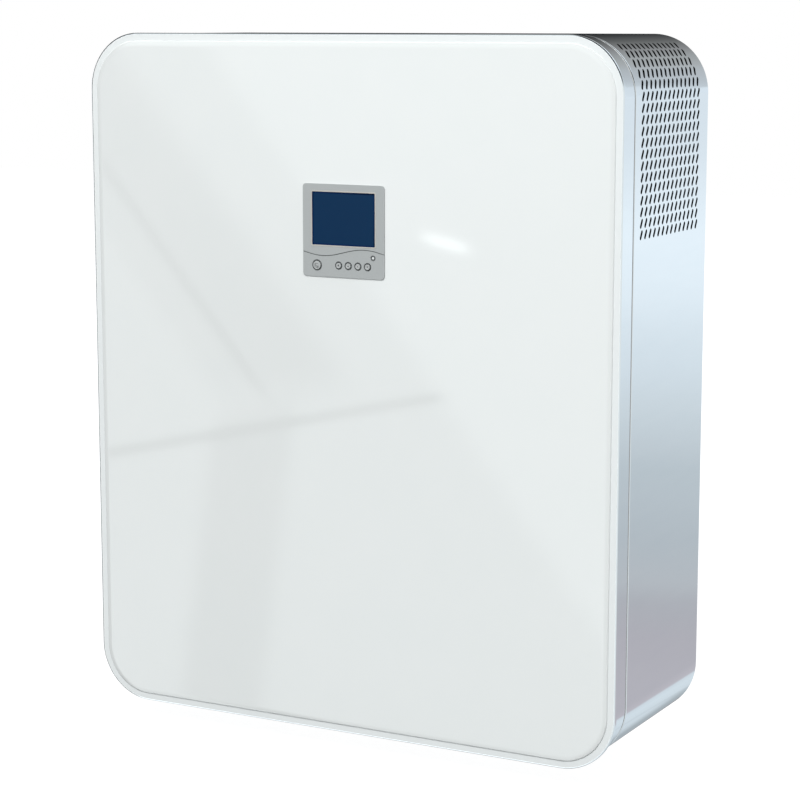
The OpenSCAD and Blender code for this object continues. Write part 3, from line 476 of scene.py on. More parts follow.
@dataclass(frozen=True)
class Outline:
    """A rectangle with round corners, seen from the front, in millimetres."""

    width: float
    height: float
    radius: float
    middle: tuple[float, float] = (0.0, 0.0)
    corner_steps: tuple[float, ...] = QUARTER
    side_levels: tuple[float, ...] = ()

    def stations(self) -> list[Station]:
        """Places round the outline, anticlockwise from the foot of the right side.

        Returns:
            For each place, the corner's centre or its like on a flat, and the way out.
        """
        cx, cz = self.middle
        bx, bz = self.width / 2 - self.radius, self.height / 2 - self.radius
        left_steps = tuple(90 - step for step in reversed(self.corner_steps))
        made: list[Station] = [(cx + bx, cz + z, 1.0, 0.0) for z in self.side_levels]
        for sx, sz, steps, turn in (
            (1, 1, self.corner_steps, 0.0), (-1, 1, left_steps, 90.0),
            (-1, -1, QUARTER, 180.0), (1, -1, QUARTER, 270.0),
        ):
            if turn == 180.0:
                made += [(cx - bx, cz + z, -1.0, 0.0) for z in reversed(self.side_levels)]
            for step in steps:
                a = math.radians(turn + step)
                made.append((cx + sx * bx, cz + sz * bz, math.cos(a), math.sin(a)))
        return made

    def ring(self, out: float, y: float) -> list[tuple[float, float, float]]:
        """Points round the outline, moved outwards and to a depth, in metres."""
        r = self.radius + out
        return [((bx + r * nx) * MM, y * MM, (bz + r * nz) * MM) for bx, bz, nx, nz in self.stations()]


class Span:
    """A frame node's box in millimetres, as seen from the front."""

    def __init__(self, low: Vector, high: Vector) -> None:
        """Measures the box.

        Args:
            low: its corner of least values, in metres.
            high: its corner of greatest values.
        """
        self.middle = ((low.x + high.x) / 2 / MM, (low.z + high.z) / 2 / MM)
        self.width, self.height = (high.x - low.x) / MM, (high.z - low.z) / MM
        self.front, self.rear = low.y / MM, high.y / MM

    def outline(self, radius: float) -> Outline:
        """Gives the box's outline, with round corners."""
        return Outline(self.width, self.height, radius, self.middle)


def arc(out: float, y: float, radius: float, start: float, stop: float, steps: int = 4) -> list[Knot]:
    """Knots along a round edge.

    Args:
        out: outward place of the arc's centre.
        y: depth of the arc's centre.
        radius: the arc's radius.
        start: first angle in degrees, from outwards (0) towards the wall (90).
        stop: last angle.
        steps: number of chords.

    Returns:
        The knots, with their normals.
    """
    made = []
    for i in range(steps + 1):
        a = math.radians(start + (stop - start) * i / steps)
        c, s = math.cos(a), math.sin(a)
        made.append((out + radius * c, y + radius * s, c, s))
    return made


def straight(a: tuple[float, float], b: tuple[float, float], normal: tuple[float, float]) -> list[Knot]:
    """Two knots with one normal."""
    return [(*a, *normal), (*b, *normal)]


def walk(*points: tuple[float, float]) -> list[list[Knot]]:
    """Makes flat strips from point to point.

    Args:
        *points: outward place and depth of each point.

    Returns:
        A strip for each pair of points. Where the walk goes outwards the strip faces the front, and where it
        goes to the wall the strip faces outwards.
    """
    strips = []
    for a, b in zip(points, points[1:]):
        long = math.dist(a, b)
        strips.append(straight(a, b, ((b[1] - a[1]) / long, (a[0] - b[0]) / long)))
    return strips


def section(inner: float, outer: float, front: float, rear: float) -> list[list[Knot]]:
    """The four sides of a closed rectangular section."""
    return walk((inner, front), (outer, front), (outer, rear), (inner, rear), (inner, front))


def loft(
    skin: Skin,
    outline: Outline,
    strips: Iterable[Sequence[Knot]],
    slot: int = 0,
    keep: Callable[[Station, Station, Knot, Knot], bool] | None = None,
) -> None:
    """Runs an edge profile round an outline.

    Args:
        skin: the mesh that takes the faces.
        outline: the outline.
        strips: the profile's pieces, each a list of knots.
        slot: material slot of the faces.
        keep: says whether the face between two stations and two knots is made.
    """
    stations = outline.stations()
    pairs = list(zip(stations, stations[1:] + stations[:1]))
    for strip in strips:
        for low, high in zip(strip, strip[1:]):
            for here, there in pairs:
                if keep and not keep(here, there, low, high):
                    continue
                corners = []
                quad = ((here, low), (there, low), (there, high), (here, high))
                for (bx, bz, nx, nz), (out, y, n_out, n_y) in quad:
                    reach = outline.radius + out
                    point = ((bx + reach * nx) * MM, y * MM, (bz + reach * nz) * MM)
                    corners.append((point, (nx * n_out, n_y, nz * n_out)))
                skin.face(corners, slot)


def bridge(
    skin: Skin,
    outer: Sequence[tuple[float, ...]],
    inner: Sequence[tuple[float, ...]],
    normal: Sequence[float],
    slot: int = 0,
) -> None:
    """Fills the flat band between two rings with as many points.

    Args:
        skin: the mesh that takes the faces.
        outer: the outer ring's points.
        inner: the inner ring's points.
        normal: the way that the band faces.
        slot: material slot of the faces.
    """
    for i in range(len(outer)):
        j = (i + 1) % len(outer)
        skin.flat([outer[i], outer[j], inner[j], inner[i]], normal, slot)


# ---------------- casing


# Places closer than this are one place, and points of the slot tiles closer than this join, in millimetres
TOUCH, TILE_WELD = 0.01, 0.02


@dataclass
class SlotGrid:
    """The rows and columns of air slots in each side of the casing, in millimetres."""

    slot_l: float = 8.5
    slot_w: float = 3.3
    lean: float = 30.0
    step_y: float = 9.07
    step_z: float = 9.03
    columns: int = 14
    rows: int = 18
    first: float = 14.2
    top: float = 46.6
    sheet: float = 1.0
    edge_steps: int = 4
    end_steps: int = 7

    @property
    def low(self) -> float:
        """Lower edge of the grid along the sheet, from the start of the bend."""
        return self.top - (self.rows - 0.5) * self.step_z

    @property
    def high(self) -> float:
        """Upper edge of the grid along the sheet."""
        return self.top + self.step_z / 2

    def levels(self) -> list[float]:
        """Places along the sheet where the grid's own edges have points, going up."""
        count = self.rows * self.edge_steps
        return [self.low + i * self.step_z / self.edge_steps for i in range(count + 1)]

    def tile(self) -> Object:
        """Makes the sheet round one slot, flat, its outer face at x = 0.

        Returns:
            An object whose faces hold their side in the attribute "side": 0 outer, 1 inner, 2 the slot's
            wall.
        """
        straight_l = (self.slot_l - self.slot_w) / 2
        lean = math.radians(self.lean)
        hole = []
        for i in range(2 * (self.end_steps + 1)):
            end, k = divmod(i, self.end_steps + 1)
            a = math.pi * (k / self.end_steps + end)
            u, v = self.slot_w / 2 * math.cos(a), self.slot_w / 2 * math.sin(a) + straight_l * (1 - 2 * end)
            hole.append((u * math.cos(lean) + v * math.sin(lean), v * math.cos(lean) - u * math.sin(lean)))
        n = self.edge_steps
        run = [1 - 2 * i / n for i in range(n)]
        edge = [(u, 1.0) for u in run] + [(-1.0, u) for u in run]
        edge += [(-u, -1.0) for u in run] + [(1.0, -u) for u in run]
        edge = [(y * self.step_y / 2, z * self.step_z / 2) for y, z in edge]
        count = len(hole)
        spans = [
            sum(math.dist(edge[(i + k) % count], hole[i]) ** 2 for i in range(count)) for k in range(count)
        ]
        best = spans.index(min(spans))
        edge = edge[best:] + edge[:best]
        points = [(x, y * MM, z * MM) for x in (0.0, -self.sheet * MM) for y, z in edge + hole]
        faces, sides = [], []
        for i in range(count):
            j = (i + 1) % count
            a, b, c, d = i, j, count + j, count + i
            deep = 2 * count
            faces += [(a, b, c, d), (d + deep, c + deep, b + deep, a + deep), (d, c, c + deep, d + deep)]
            sides += [0, 1, 2]
        mesh = bpy.data.meshes.new("slot_tile")
        mesh.from_pydata(points, [], faces)
        mesh.attributes.new("side", "INT", "FACE").data.foreach_set("value", sides)
        return put("slot_tile", mesh)

    def tree(self) -> NodeTree:
        """Builds the node tree that repeats a tile over the grid and bends it round the casing's corner.

        Returns:
            The tree, with the grid's and the bend's sizes as named inputs.
        """
        tree = bpy.data.node_groups.new("slotted_sheet", "GeometryNodeTree")
        face = tree.interface
        face.new_socket("Geometry", in_out="OUTPUT", socket_type="NodeSocketGeometry")
        face.new_socket("Tile", in_out="INPUT", socket_type="NodeSocketGeometry")
        for name in ("Columns", "Rows"):
            face.new_socket(name, in_out="INPUT", socket_type="NodeSocketInt")
        lengths = ("Column Step", "Row Step", "First Column", "Top Row", "Bend Radius", "Bend X", "Bend Z")
        for name in lengths:
            face.new_socket(name, in_out="INPUT", socket_type="NodeSocketFloat")
        face.new_socket("Material", in_out="INPUT", socket_type="NodeSocketMaterial")
        given = add(tree, "NodeGroupInput").outputs

        spans = []
        for count, step in (("Columns", "Column Step"), ("Rows", "Row Step")):
            gaps = add(tree, MATH, (given[count], 1.0), operation="SUBTRACT")
            spans.append(add(tree, MATH, (gaps, given[step]), operation="MULTIPLY"))
        grid = add(tree, "GeometryNodeMeshGrid", (*spans, given["Columns"], given["Rows"]))
        half_wide, half_tall = (add(tree, MATH, (span, 2.0), operation="DIVIDE") for span in spans)
        middle = add(tree, "ShaderNodeCombineXYZ", {
            1: add(tree, MATH, (given["First Column"], half_wide), operation="ADD"),
            2: add(tree, MATH, (given["Top Row"], half_tall), operation="SUBTRACT"),
        })
        stand = add(tree, "GeometryNodeTransform", {
            "Geometry": grid, "Translation": middle, "Rotation": (math.pi / 2, 0, math.pi / 2),
        })
        tiles = add(tree, "GeometryNodeInstanceOnPoints", {"Points": stand, "Instance": given["Tile"]})
        solid = add(tree, "GeometryNodeRealizeInstances", (tiles,))
        weld = {"Geometry": solid, "Distance": TILE_WELD * MM}
        joined = add(tree, "GeometryNodeMergeByDistance", weld)

        # Below the bend the sheet stays straight; above its start, height becomes an angle
        xyz = add(tree, "ShaderNodeSeparateXYZ", (add(tree, "GeometryNodeInputPosition"),)).outputs
        above, below = (add(tree, MATH, (xyz[2], 0.0), operation=pick) for pick in ("MAXIMUM", "MINIMUM"))
        turn = add(tree, MATH, (above, given["Bend Radius"]), operation="DIVIDE")
        reach = add(tree, MATH, (given["Bend Radius"], xyz[0]), operation="ADD")
        out, up = (
            add(tree, MATH, (reach, add(tree, MATH, (turn,), operation=way)), operation="MULTIPLY")
            for way in ("COSINE", "SINE")
        )
        foot = add(tree, MATH, (given["Bend Z"], below), operation="ADD")
        bent = add(tree, "ShaderNodeCombineXYZ", (
            add(tree, MATH, (given["Bend X"], out), operation="ADD"),
            xyz[1],
            add(tree, MATH, (foot, up), operation="ADD"),
        ))
        placed = add(tree, "GeometryNodeSetPosition", {"Geometry": joined, "Position": bent})
        dressed = add(tree, "GeometryNodeSetMaterial", {"Geometry": placed, "Material": given["Material"]})
        add(tree, "NodeGroupOutput", (dressed,))
        return tree


def run_tree(target: Object, tree: NodeTree, values: dict[str, object]) -> Mesh:
    """Runs a node tree on an object and takes the result as a plain mesh.

    Args:
        target: the object that the tree works on; it is removed.
        tree: the geometry node tree.
        values: value of each named input.

    Returns:
        The finished mesh.
    """
    modifier = target.modifiers.new("tree", "NODES")
    modifier.node_group = tree
    for item in tree.interface.items_tree:
        if item.in_out == "INPUT" and item.name in values:
            modifier[item.identifier] = values[item.name]
    graph = bpy.context.evaluated_depsgraph_get()
    mesh = bpy.data.meshes.new_from_object(target.evaluated_get(graph), depsgraph=graph)
    bpy.data.objects.remove(target)
    return mesh


@dataclass
class Casing:
    """The bright wrapper with its slotted sides, in millimetres."""

    store: Store
    grid: SlotGrid = field(default_factory=SlotGrid)
    corner_r: float = 49.0
    sheet: float = 1.0
    front_lip: float = 10.0
    rear_lip: float = 14.0
    fold_r: float = 1.0
    # Degrees in a step of the corner above the slots, and the most in its last step
    corner_step: float = 3.0
    last_step: float = 4.0

    def __post_init__(self) -> None:
        """Reads the casing's size from its frame node."""
        box = Span(*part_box("casing_wrapper"))
        self.width, self.height, self.front, self.rear = box.width, box.height, box.front, box.rear
        self.bend_x, self.bend_z = self.width / 2 - self.corner_r, self.height / 2 - self.corner_r

    def outline(self) -> Outline:
        """Draws the casing's outline, with points wherever the slot grid's edges have them.

        Returns:
            The outline.
        """
        levels = self.grid.levels()
        turns = [0.0] + [math.degrees(s / self.corner_r) for s in levels if s > TOUCH]
        while 90 - turns[-1] > self.last_step:
            turns.append(turns[-1] + (90 - turns[-1]) / max(1, round((90 - turns[-1]) / self.corner_step)))
        if turns[-1] < 90:
            turns.append(90.0)
        return Outline(
            self.width, self.height, self.corner_r, corner_steps=tuple(turns),
            side_levels=tuple(self.bend_z + s for s in levels if s < -TOUCH),
        )

    def _in_grid(self, station: Station) -> bool:
        """Says whether a place on the outline lies in the slot grid's span.

        Args:
            station: the place.

        Returns:
            True where the slots are.
        """
        _, bz, nx, nz = station
        if abs(nx) == 1.0 and bz < self.bend_z - TOUCH:
            along = bz - self.bend_z
        elif bz > 0:
            along = math.atan2(nz, abs(nx)) * self.corner_r
        else:
            return False
        return self.grid.low - TOUCH <= along <= self.grid.high + TOUCH

    def build(self) -> Object:
        """Makes the shell and its grilles as one closed mesh.

        Returns:
            The shell.
        """
        skin = Skin()
        f, r, fold, t = self.front, self.rear, self.fold_r, self.sheet
        first = f + self.grid.first - self.grid.step_y / 2
        last = first + self.grid.columns * self.grid.step_y
        outer = arc(-fold, f + fold, fold, -90, 0) + [(0, first, 1, 0), (0, last, 1, 0)]
        outer += arc(-fold, r - fold, fold, 0, 90)
        inner = [(-t, y, -1, 0) for y in (f + t, first, last, r - t)]
        strips = [
            outer, inner,
            *walk((-t, f + t), (-self.front_lip, f + t), (-self.front_lip, f), (-fold, f)),
            *walk((-fold, r), (-self.rear_lip, r), (-self.rear_lip, r - t), (-t, r - t)),
        ]

        def keep(here: Station, there: Station, low: Knot, high: Knot) -> bool:
            """Leaves out the faces that the slot grid fills."""
            spans = abs(min(low[1], high[1]) - first) < TOUCH and abs(max(low[1], high[1]) - last) < TOUCH
            return not (spans and self._in_grid(here) and self._in_grid(there))

        loft(skin, self.outline(), strips, keep=keep)
        self._add_slots(skin)
        shell = skin.build("casing_shell", self.store.pick("polished_steel", "slot_edge"))
        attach(shell, "casing")
        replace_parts(shell, "casing_wrapper", "right_grille", "left_grille")
        return shell

    def _add_slots(self, skin: Skin) -> None:
        """Adds both slotted zones, the left one as the right one's mirror image.

        Args:
            skin: the shell's mesh.
        """
        grid = self.grid
        mesh = run_tree(grid.tile(), grid.tree(), {
            "Columns": grid.columns, "Rows": grid.rows,
            "Column Step": grid.step_y * MM, "Row Step": grid.step_z * MM,
            "First Column": (self.front + grid.first) * MM, "Top Row": grid.top * MM,
            "Bend Radius": self.corner_r * MM, "Bend X": self.bend_x * MM, "Bend Z": self.bend_z * MM,
            "Material": self.store.materials["polished_steel"],
        })
        sides = mesh.attributes["side"].data
        for hand in (1, -1):
            for polygon in mesh.polygons:
                corners = []
                for index in polygon.vertices:
                    x, y, z = mesh.vertices[index].co
                    if sides[polygon.index].value == 2:
                        way = polygon.normal
                        normal = (way.x * hand, way.y, way.z)
                    else:
                        lift = max(z - self.bend_z * MM, 0)
                        out = Vector((x - self.bend_x * MM, 0, lift)).normalized()
                        out *= -1 if sides[polygon.index].value else 1
                        normal = (out.x * hand, 0, out.z)
                    corners.append(((x * hand, y, z), normal))
                skin.face(corners, int(sides[polygon.index].value == 2))


# ---------------- door


@dataclass
class Door:
    """The door's bright rim, white frame and raised panel, in millimetres."""

    store: Store
    corner_r: float = 49.0
    front_r: float = 48.0
    sheet: float = 1.0
    lip: float = 12.0
    fold_r: float = 0.9
    reveal: float = 0.4
    border: float = 6.6
    ledge: float = 6.0
    # Round-over of the steel edging round the white frame
    edging_r: float = 1.25
    # The panel's edge: a wide gentle bend and a tight one, each with its radius and its lean in degrees
    gentle: tuple[float, float] = (24.0, 10.0)
    tight: tuple[float, float] = (1.1, 75.0)
    hole: tuple[float, float, float] = (73.6, 73.6, 2.0)

    def rim(self) -> Object:
        """Makes the polished band round the door.

        Returns:
            The piece.
        """
        box = Span(*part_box("door_rim"))
        f, r, t, lip, fold = box.front, box.rear, self.sheet, self.reveal, self.fold_r
        skin = Skin()
        loft(skin, box.outline(self.corner_r), [
            arc(-lip, f + lip, lip, -90, 0) + arc(-fold, r - fold, fold, 0, 90),
            *walk((-fold, r), (-self.lip, r), (-self.lip, r - t), (-t, r - t), (-t, f), (-lip, f)),
        ])
        made = skin.build("door_band", self.store.pick("polished_steel"))
        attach(made, "door")
        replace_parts(made, "door_rim")
        return made

    def frame(self) -> Object:
        """Makes the white frame, with its steel edging and the rebate for the panel.

        Returns:
            The piece.
        """
        box = Span(*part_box("door_frame"))
        f, r, step = box.front, box.rear, Span(*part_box("front_panel")).rear
        edge, cut, inside = self.edging_r, self.border, self.border + self.ledge
        front = box.outline(self.front_r)
        skin = Skin()
        loft(skin, front, [[(0, r, 1, 0)] + arc(-edge, f + edge, edge, 0, -90, 6)], 1)
        loft(skin, front, walk((0, r), (-inside, r), (-inside, step), (-cut, step), (-cut, f), (-edge, f)))
        made = skin.build("white_surround", self.store.pick("white_frame", "polished_steel"))
        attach(made, "door")
        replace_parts(made, "door_frame")
        return made

    def panel(self) -> Object:
        """Makes the raised glossy panel with its opening for the controls.

        Returns:
            The piece.
        """
        box, surround = Span(*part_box("front_panel")), Span(*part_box("door_frame"))
        f, r, foot, side = box.front, box.rear, surround.front, -self.border
        (wide_r, low_lean), (tight_r, lean) = self.gentle, self.tight
        soft, steep = math.radians(low_lean), math.radians(lean)
        rise = foot - f - wide_r * (1 - math.cos(soft)) - tight_r * (math.cos(soft) - math.cos(steep))
        bend = wide_r * math.sin(soft) + tight_r * (math.sin(steep) - math.sin(soft))
        # Where the panel's flat face starts, and the centres' distance between the two bends
        rim, gap_r = side - bend - rise / math.tan(steep), wide_r - tight_r
        edge = straight((side, foot), (rim + bend, foot - rise), (math.sin(steep), -math.cos(steep)))
        tight_y = f + wide_r - gap_r * math.cos(soft)
        edge += arc(rim + gap_r * math.sin(soft), tight_y, tight_r, lean - 90, low_lean - 90, 6)[1:]
        edge += arc(rim, f + wide_r, wide_r, low_lean - 90, -90)[1:]
        front = surround.outline(self.front_r)
        hole = Outline(*self.hole, Span(*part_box("control_bezel")).middle)
        skin = Skin()
        loft(skin, front, [*walk((side, foot), (side, r)), edge])
        bridge(skin, front.ring(rim, f), hole.ring(0, f), (0, -1, 0))
        loft(skin, hole, walk((0, r), (0, f)))
        bridge(skin, front.ring(side, r), hole.ring(0, r), (0, 1, 0))
        made = skin.build("raised_panel", self.store.pick("white_acrylic"))
        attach(made, "door")
        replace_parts(made, "front_panel")
        return made

    def build(self) -> list[Object]:
        """Makes all three."""
        return [self.rim(), self.frame(), self.panel()]


# ---------------- control panel


def turned(skin: Skin, middle: tuple[float, float], strips: Iterable[Sequence[Knot]], slot: int = 0) -> None:
    """Turns a profile about an axis that runs into the wall.

    Args:
        skin: the mesh that takes the faces.
        middle: the axis's place, in millimetres.
        strips: the profile's pieces; each knot is radius, depth and the normal's two parts.
        slot: material slot of the faces.
    """
    loft(skin, Outline(0.0, 0.0, 0.0, middle), strips, slot)


class Glyph(Enum):
    """Plain marks on the keys."""

    DOT = "dot"
    UP = "triangle pointing up"
    SMALL_DOT = "small dot"
    DOWN = "triangle pointing down"
    NONE = "bare"


# Radius of each dot, and corners of the triangle that points up, in millimetres on a key of MARKED_R
MARKED_R = 3.1
DOTS = {Glyph.DOT: 0.75, Glyph.SMALL_DOT: 0.5}
TRIANGLE = ((-0.8, -0.6), (0.8, -0.6), (0.0, 0.85))


def plate(skin: Skin, points: Sequence[tuple[float, float]], front: float, back: float, slot: int) -> None:
    """Adds a flat plate, in millimetres.

    Args:
        skin: the mesh that takes the faces.
        points: the plate's outline, seen from the front.
        front: depth of its front.
        back: depth of its back.
        slot: material slot of the faces.
    """
    ring = [(x * MM, z * MM) for x, z in points]
    skin.flat([(x, front * MM, z) for x, z in ring], (0, -1, 0), slot)
    skin.flat([(x, back * MM, z) for x, z in ring], (0, 1, 0), slot)
    cx, cz = sum(x for x, _ in ring) / len(ring), sum(z for _, z in ring) / len(ring)
    for (ax, az), (bx, bz) in zip(ring, ring[1:] + ring[:1]):
        way = Vector((az - bz, 0, bx - ax)).normalized()
        if way.dot(Vector(((ax + bx) / 2 - cx, 0, (az + bz) / 2 - cz))) < 0:
            way.negate()
        near, far = front * MM, back * MM
        skin.flat([(ax, near, az), (bx, near, bz), (bx, far, bz), (ax, far, az)], way, slot)


@dataclass
class Controls:
    """The window's trim, the status light and the buttons, in millimetres."""

    store: Store
    # A button: the flat rim of its cap, the dish with the width and the shading of its slope, its rounded
    # edge, and the foot that keeps it in
    rim: float = 0.45
    dish: float = 0.22
    slope_w: float = 0.7
    slope_way: tuple[float, float] = (-0.32, -0.95)
    round_r: float = 0.3
    foot_r: float = 0.8
    foot_t: float = 0.8
    # The thickness of its print
    mark_t: float = 0.06
    # The ring on the power button: its radius, its wire's, and how far the wire's middle stands off
    ring: tuple[float, float, float] = (1.75, 0.25, 0.05)
    # The cap's inset, and the dark ring round it that is painted shade of the recess: inner and outer edge
    # past the button's radius, and its depths
    cap_in: float = 0.75
    ring_shade: tuple[float, float] = (-0.70, 0.1)
    ring_shade_y: tuple[float, float] = (0.32, 0.57)
    # The window: its corners, and its trim's width, height above the panel, lap over the glass, slant of its
    # back and width of its two slopes; then the width and thickness of the darker band on the glass's edge,
    # which is painted recess shade
    window_r: float = 0.8
    trim: float = 1.1
    trim_y: float = 0.18
    lap: float = 0.05
    back: float = 0.02
    slopes: tuple[float, float] = (0.15, 0.25)
    edge_shade: float = 1.3
    edge_shade_t: float = 0.02
    # The status light: its domed lens from the edge in, the gap round it, and its collar's length, inset
    # and edge
    dome: tuple[Knot, ...] = (
        (1.15, 0.35, 0.6, -0.8), (0.8, 0.2, 0.4, -0.9), (0.4, 0.12, 0.2, -1), (0, 0.1, 0, -1),
    )
    lens_gap: float = 0.1
    collar: tuple[float, float, float] = (4.0, 0.4, 0.25)
    glyphs: tuple[tuple[str, Glyph], ...] = (
        ("power_button", Glyph.NONE), ("key_1", Glyph.DOT), ("key_2", Glyph.UP),
        ("key_3", Glyph.SMALL_DOT), ("key_4", Glyph.DOWN),
    )

    def _button(self, node: str, glyph: Glyph) -> tuple[Object, tuple[float, float], float]:
        """Makes one dished button with its foot and its mark.

        Args:
            node: frame node that the button stands for.
            glyph: mark on its face.

        Returns:
            The button, the middle of its face and its radius.
        """
        box = Span(*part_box(node))
        (x, z), f, r, wide = box.middle, box.front, box.rear, box.width / 2
        reach = wide - self.foot_r
        cap, soft, deep, step = reach - self.cap_in, self.round_r, f + self.dish, r - self.foot_t
        lip = cap - soft - self.rim
        skin = Skin()
        turned(skin, box.middle, [
            *walk((cap, step), (wide, step), (wide, r), (0, r)),
            [(cap, step, 1, 0)] + arc(cap - soft, f + soft, soft, 0, -90),
            *walk((lip, f), (cap - soft, f)),
            [(lip, f, *self.slope_way), (lip - self.slope_w, deep, 0, -1), (0, deep, 0, -1)],
        ])
        top, size = deep - self.mark_t, reach / MARKED_R
        if glyph in DOTS:
            dot = DOTS[glyph] * size
            turns = [a * math.pi / 8 for a in range(16)]
            plate(skin, [(x + dot * math.cos(a), z + dot * math.sin(a)) for a in turns], top, deep, 1)
        elif glyph in (Glyph.UP, Glyph.DOWN):
            tall = size if glyph is Glyph.UP else -size
            plate(skin, [(x + side * size, z + up * tall) for side, up in TRIANGLE], top, deep, 1)
        else:
            # A faint ring stands on the power button's face
            ring_r, wire, off = self.ring
            half = arc(ring_r, deep - off, wire, 0, -180, 6)
            turned(skin, box.middle, [[(ring_r + wire, deep, 1, 0)] + half + [(ring_r - wire, deep, -1, 0)]])
        made = skin.build(f"{node}_cap", self.store.pick("key_grey", "key_print"))
        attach(made, node)
        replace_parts(made, node)
        return made, (x, z), reach

    def _light(self) -> Object:
        """Makes the status light: a small lens in a dark collar.

        Returns:
            The piece.
        """
        box = Span(*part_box("status_light"))
        f, r, wide = box.front, box.rear, box.width / 2
        long, inset, soft = self.collar
        tube, (lens, sunk) = wide - inset, self.dome[0][:2]
        lip = lens + self.lens_gap
        skin = Skin()
        turned(skin, box.middle, [
            *walk((tube, r - long), (wide, r - long), (wide, r), (0, r)),
            [(tube, r - long, 1, 0)] + arc(tube - soft, f + soft, soft, 0, -90),
            *walk((lip, f), (tube - soft, f)),
            straight((lip, f), (lens, f + sunk), (-1, 0)),
        ])
        turned(skin, box.middle, [[(out, f + y, *normal) for out, y, *normal in self.dome]], 1)
        made = skin.build("status_light_lens", self.store.pick("dark_collar_and_groove_shade", "light_lens"))
        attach(made, "door")
        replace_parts(made, "status_light")
        return made

    def _trim(self, wells: Iterable[tuple[tuple[float, float], float]]) -> Object:
        """Makes the window's trim, a darker band round its glass that is painted recess shade, and dark rings
        round the buttons that are painted shade of their recesses.

        Args:
            wells: middle and radius of each button.

        Returns:
            The piece.
        """
        box = Span(*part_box("display_glass"))
        face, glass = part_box("control_bezel")[0].y / MM, box.front
        window, raised, lap, wide = box.outline(self.window_r), face - self.trim_y, self.lap, self.trim
        near, far = self.slopes
        skin = Skin()
        loft(skin, window, [
            [(-lap, glass, -1, 0), (-lap, face - lap, -0.7, -0.7), (near, raised, 0, -1),
             (wide - far, raised, 0, -1), (wide, face, 1, 0)],
            straight((wide, face), (-lap, face + self.back), (0, 1)),
        ])
        # A darker navy band round the glass's edge: painted shade of the recess
        loft(skin, window, section(-self.edge_shade, 0, glass - self.edge_shade_t, glass), 1)
        inner, outer = self.ring_shade
        front, rear = (face + y for y in self.ring_shade_y)
        # Each key's dark ring is painted shade of the recess round it
        for place, r in wells:
            turned(skin, place, section(r + inner, r + outer, front, rear), 2)
        made = skin.build("window_trim", self.store.pick("window_trim", "window_edge_shade", "key_ring_shade"))
        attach(made, "door")
        return made

    def build(self) -> list[Object]:
        """Makes all of them."""
        buttons = [self._button(node, glyph) for node, glyph in self.glyphs]
        return [b[0] for b in buttons] + [self._light(), self._trim([b[1:] for b in buttons])]


# ---------------- frame nodes that stay


# Points of a frame node closer than this join, and edges get a bevel this wide, in millimetres
WELD, BEVEL = 0.01, 0.25
# Flats that differ by less than this are one, and edges sharper than this are bevelled, in degrees
FLAT, SHARP = 0.4, 40


def shade_groove_floors(bezel: Object, store: Store, depth: float = 0.3) -> None:
    """Darkens the floors of the fine grooves round the keys and along the wave with painted shade.

    Args:
        bezel: the bezel's frame node, already dressed.
        store: the materials.
        depth: how deep the grooves are, in millimetres.
    """
    bezel.data.materials.append(store.materials["dark_collar_and_groove_shade"])
    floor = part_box(bezel.name)[0].y / MM + depth
    for polygon in bezel.data.polygons:
        place = bezel.matrix_world @ polygon.center
        if abs(place.y / MM - floor) < 0.02:
            # A groove's floor takes the dark grey as painted shade
            polygon.material_index = 1


def dress_nodes(frame: dict, store: Store, replaced: set[str]) -> None:
    """Gives every frame node that stays its finish and softly broken edges.

    Args:
        frame: what import_model() returned.
        store: the materials.
        replaced: nodes that another piece stands for.
    """
    slots = {part["node"]: part["material_slot"] for part in frame["record"]["subparts"]}
    for name, node in frame["nodes"].items():
        if name in replaced:
            continue
        store.dress(node, slots[name])
        if name == "control_bezel":
            shade_groove_floors(node, store)
        weld = node.modifiers.new("weld", "WELD")
        weld.merge_threshold = WELD * MM
        flat = node.modifiers.new("whole_flats", "DECIMATE")
        flat.decimate_type = "DISSOLVE"
        flat.angle_limit = math.radians(FLAT)
        flat.delimit = {"MATERIAL"}
        bevel = node.modifiers.new("broken_edges", "BEVEL")
        bevel.width = BEVEL * MM
        bevel.segments = 2
        bevel.limit_method = "ANGLE"
        bevel.angle_limit = math.radians(SHARP)
        shine = node.modifiers.new("even_shading", "WEIGHTED_NORMAL")
        shine.mode = "FACE_AREA"
        shine.weight = 100
        node.data.shade_smooth()


# ---------------- studio


@dataclass(frozen=True)
class Stripe:
    """A soft-edged stripe of the room: the direction across it, its middle, half its width and its blur."""

    across: tuple[float, float, float]
    middle: float
    half: float
    soft: float


@dataclass(frozen=True)
class Shade:
    """A place in the room where stripes cross, and how much lighter or darker it is."""

    gain: float
    stripes: tuple[Stripe, ...]


@dataclass(frozen=True)
class Lamp:
    """A square soft lamp aimed at the object, in metres and watts."""

    name: str
    place: tuple[float, float, float]
    size: float
    power: float


# Ways across the room's stripes
ACROSS, UP = (1.0, 0.0, 0.0), (0.0, 0.0, 1.0)
# Brightness that no shade goes below
DARKEST = 0.02
SLOPE_WAY, RAFTER_WAY, RAIL_WAY = (0.70, -0.46, 0.55), (0.66, -0.51, 0.56), (0.22, 0.06, -0.97)
# Stripes of the room in front that the glossy panel mirrors: a bright sloping ceiling, its rafter, a post
# and a rail
SLOPE = Stripe(SLOPE_WAY, 0.497, 0.5, 0.006)
SHADED_SLOPE = Stripe(SLOPE_WAY, -0.503, 0.5, 0.004)
RAFTER = Stripe(RAFTER_WAY, 0.012, 0.016, 0.008)
RAFTER_SIDE = Stripe(RAFTER_WAY, -0.013, 0.009, 0.006)
RAFTER_EDGE = Stripe(RAFTER_WAY, -0.005, 0.0022, 0.0015)
POST = Stripe((0.85, -0.51, -0.12), 0.001, 0.017, 0.005)
ABOVE_RAIL = Stripe(RAIL_WAY, -0.51, 0.5, 0.012)
BELOW_RAIL = Stripe(RAIL_WAY, 0.497, 0.5, 0.012)
RAIL = Stripe(RAIL_WAY, 0.0035, 0.0022, 0.0016)
LAMP_ACROSS = Stripe((0.89, -0.46, 0.0), 0.001, 0.009, 0.005)
LAMP_ALONG = Stripe((-0.20, 0.21, -0.96), -0.0034, 0.002, 0.0025)


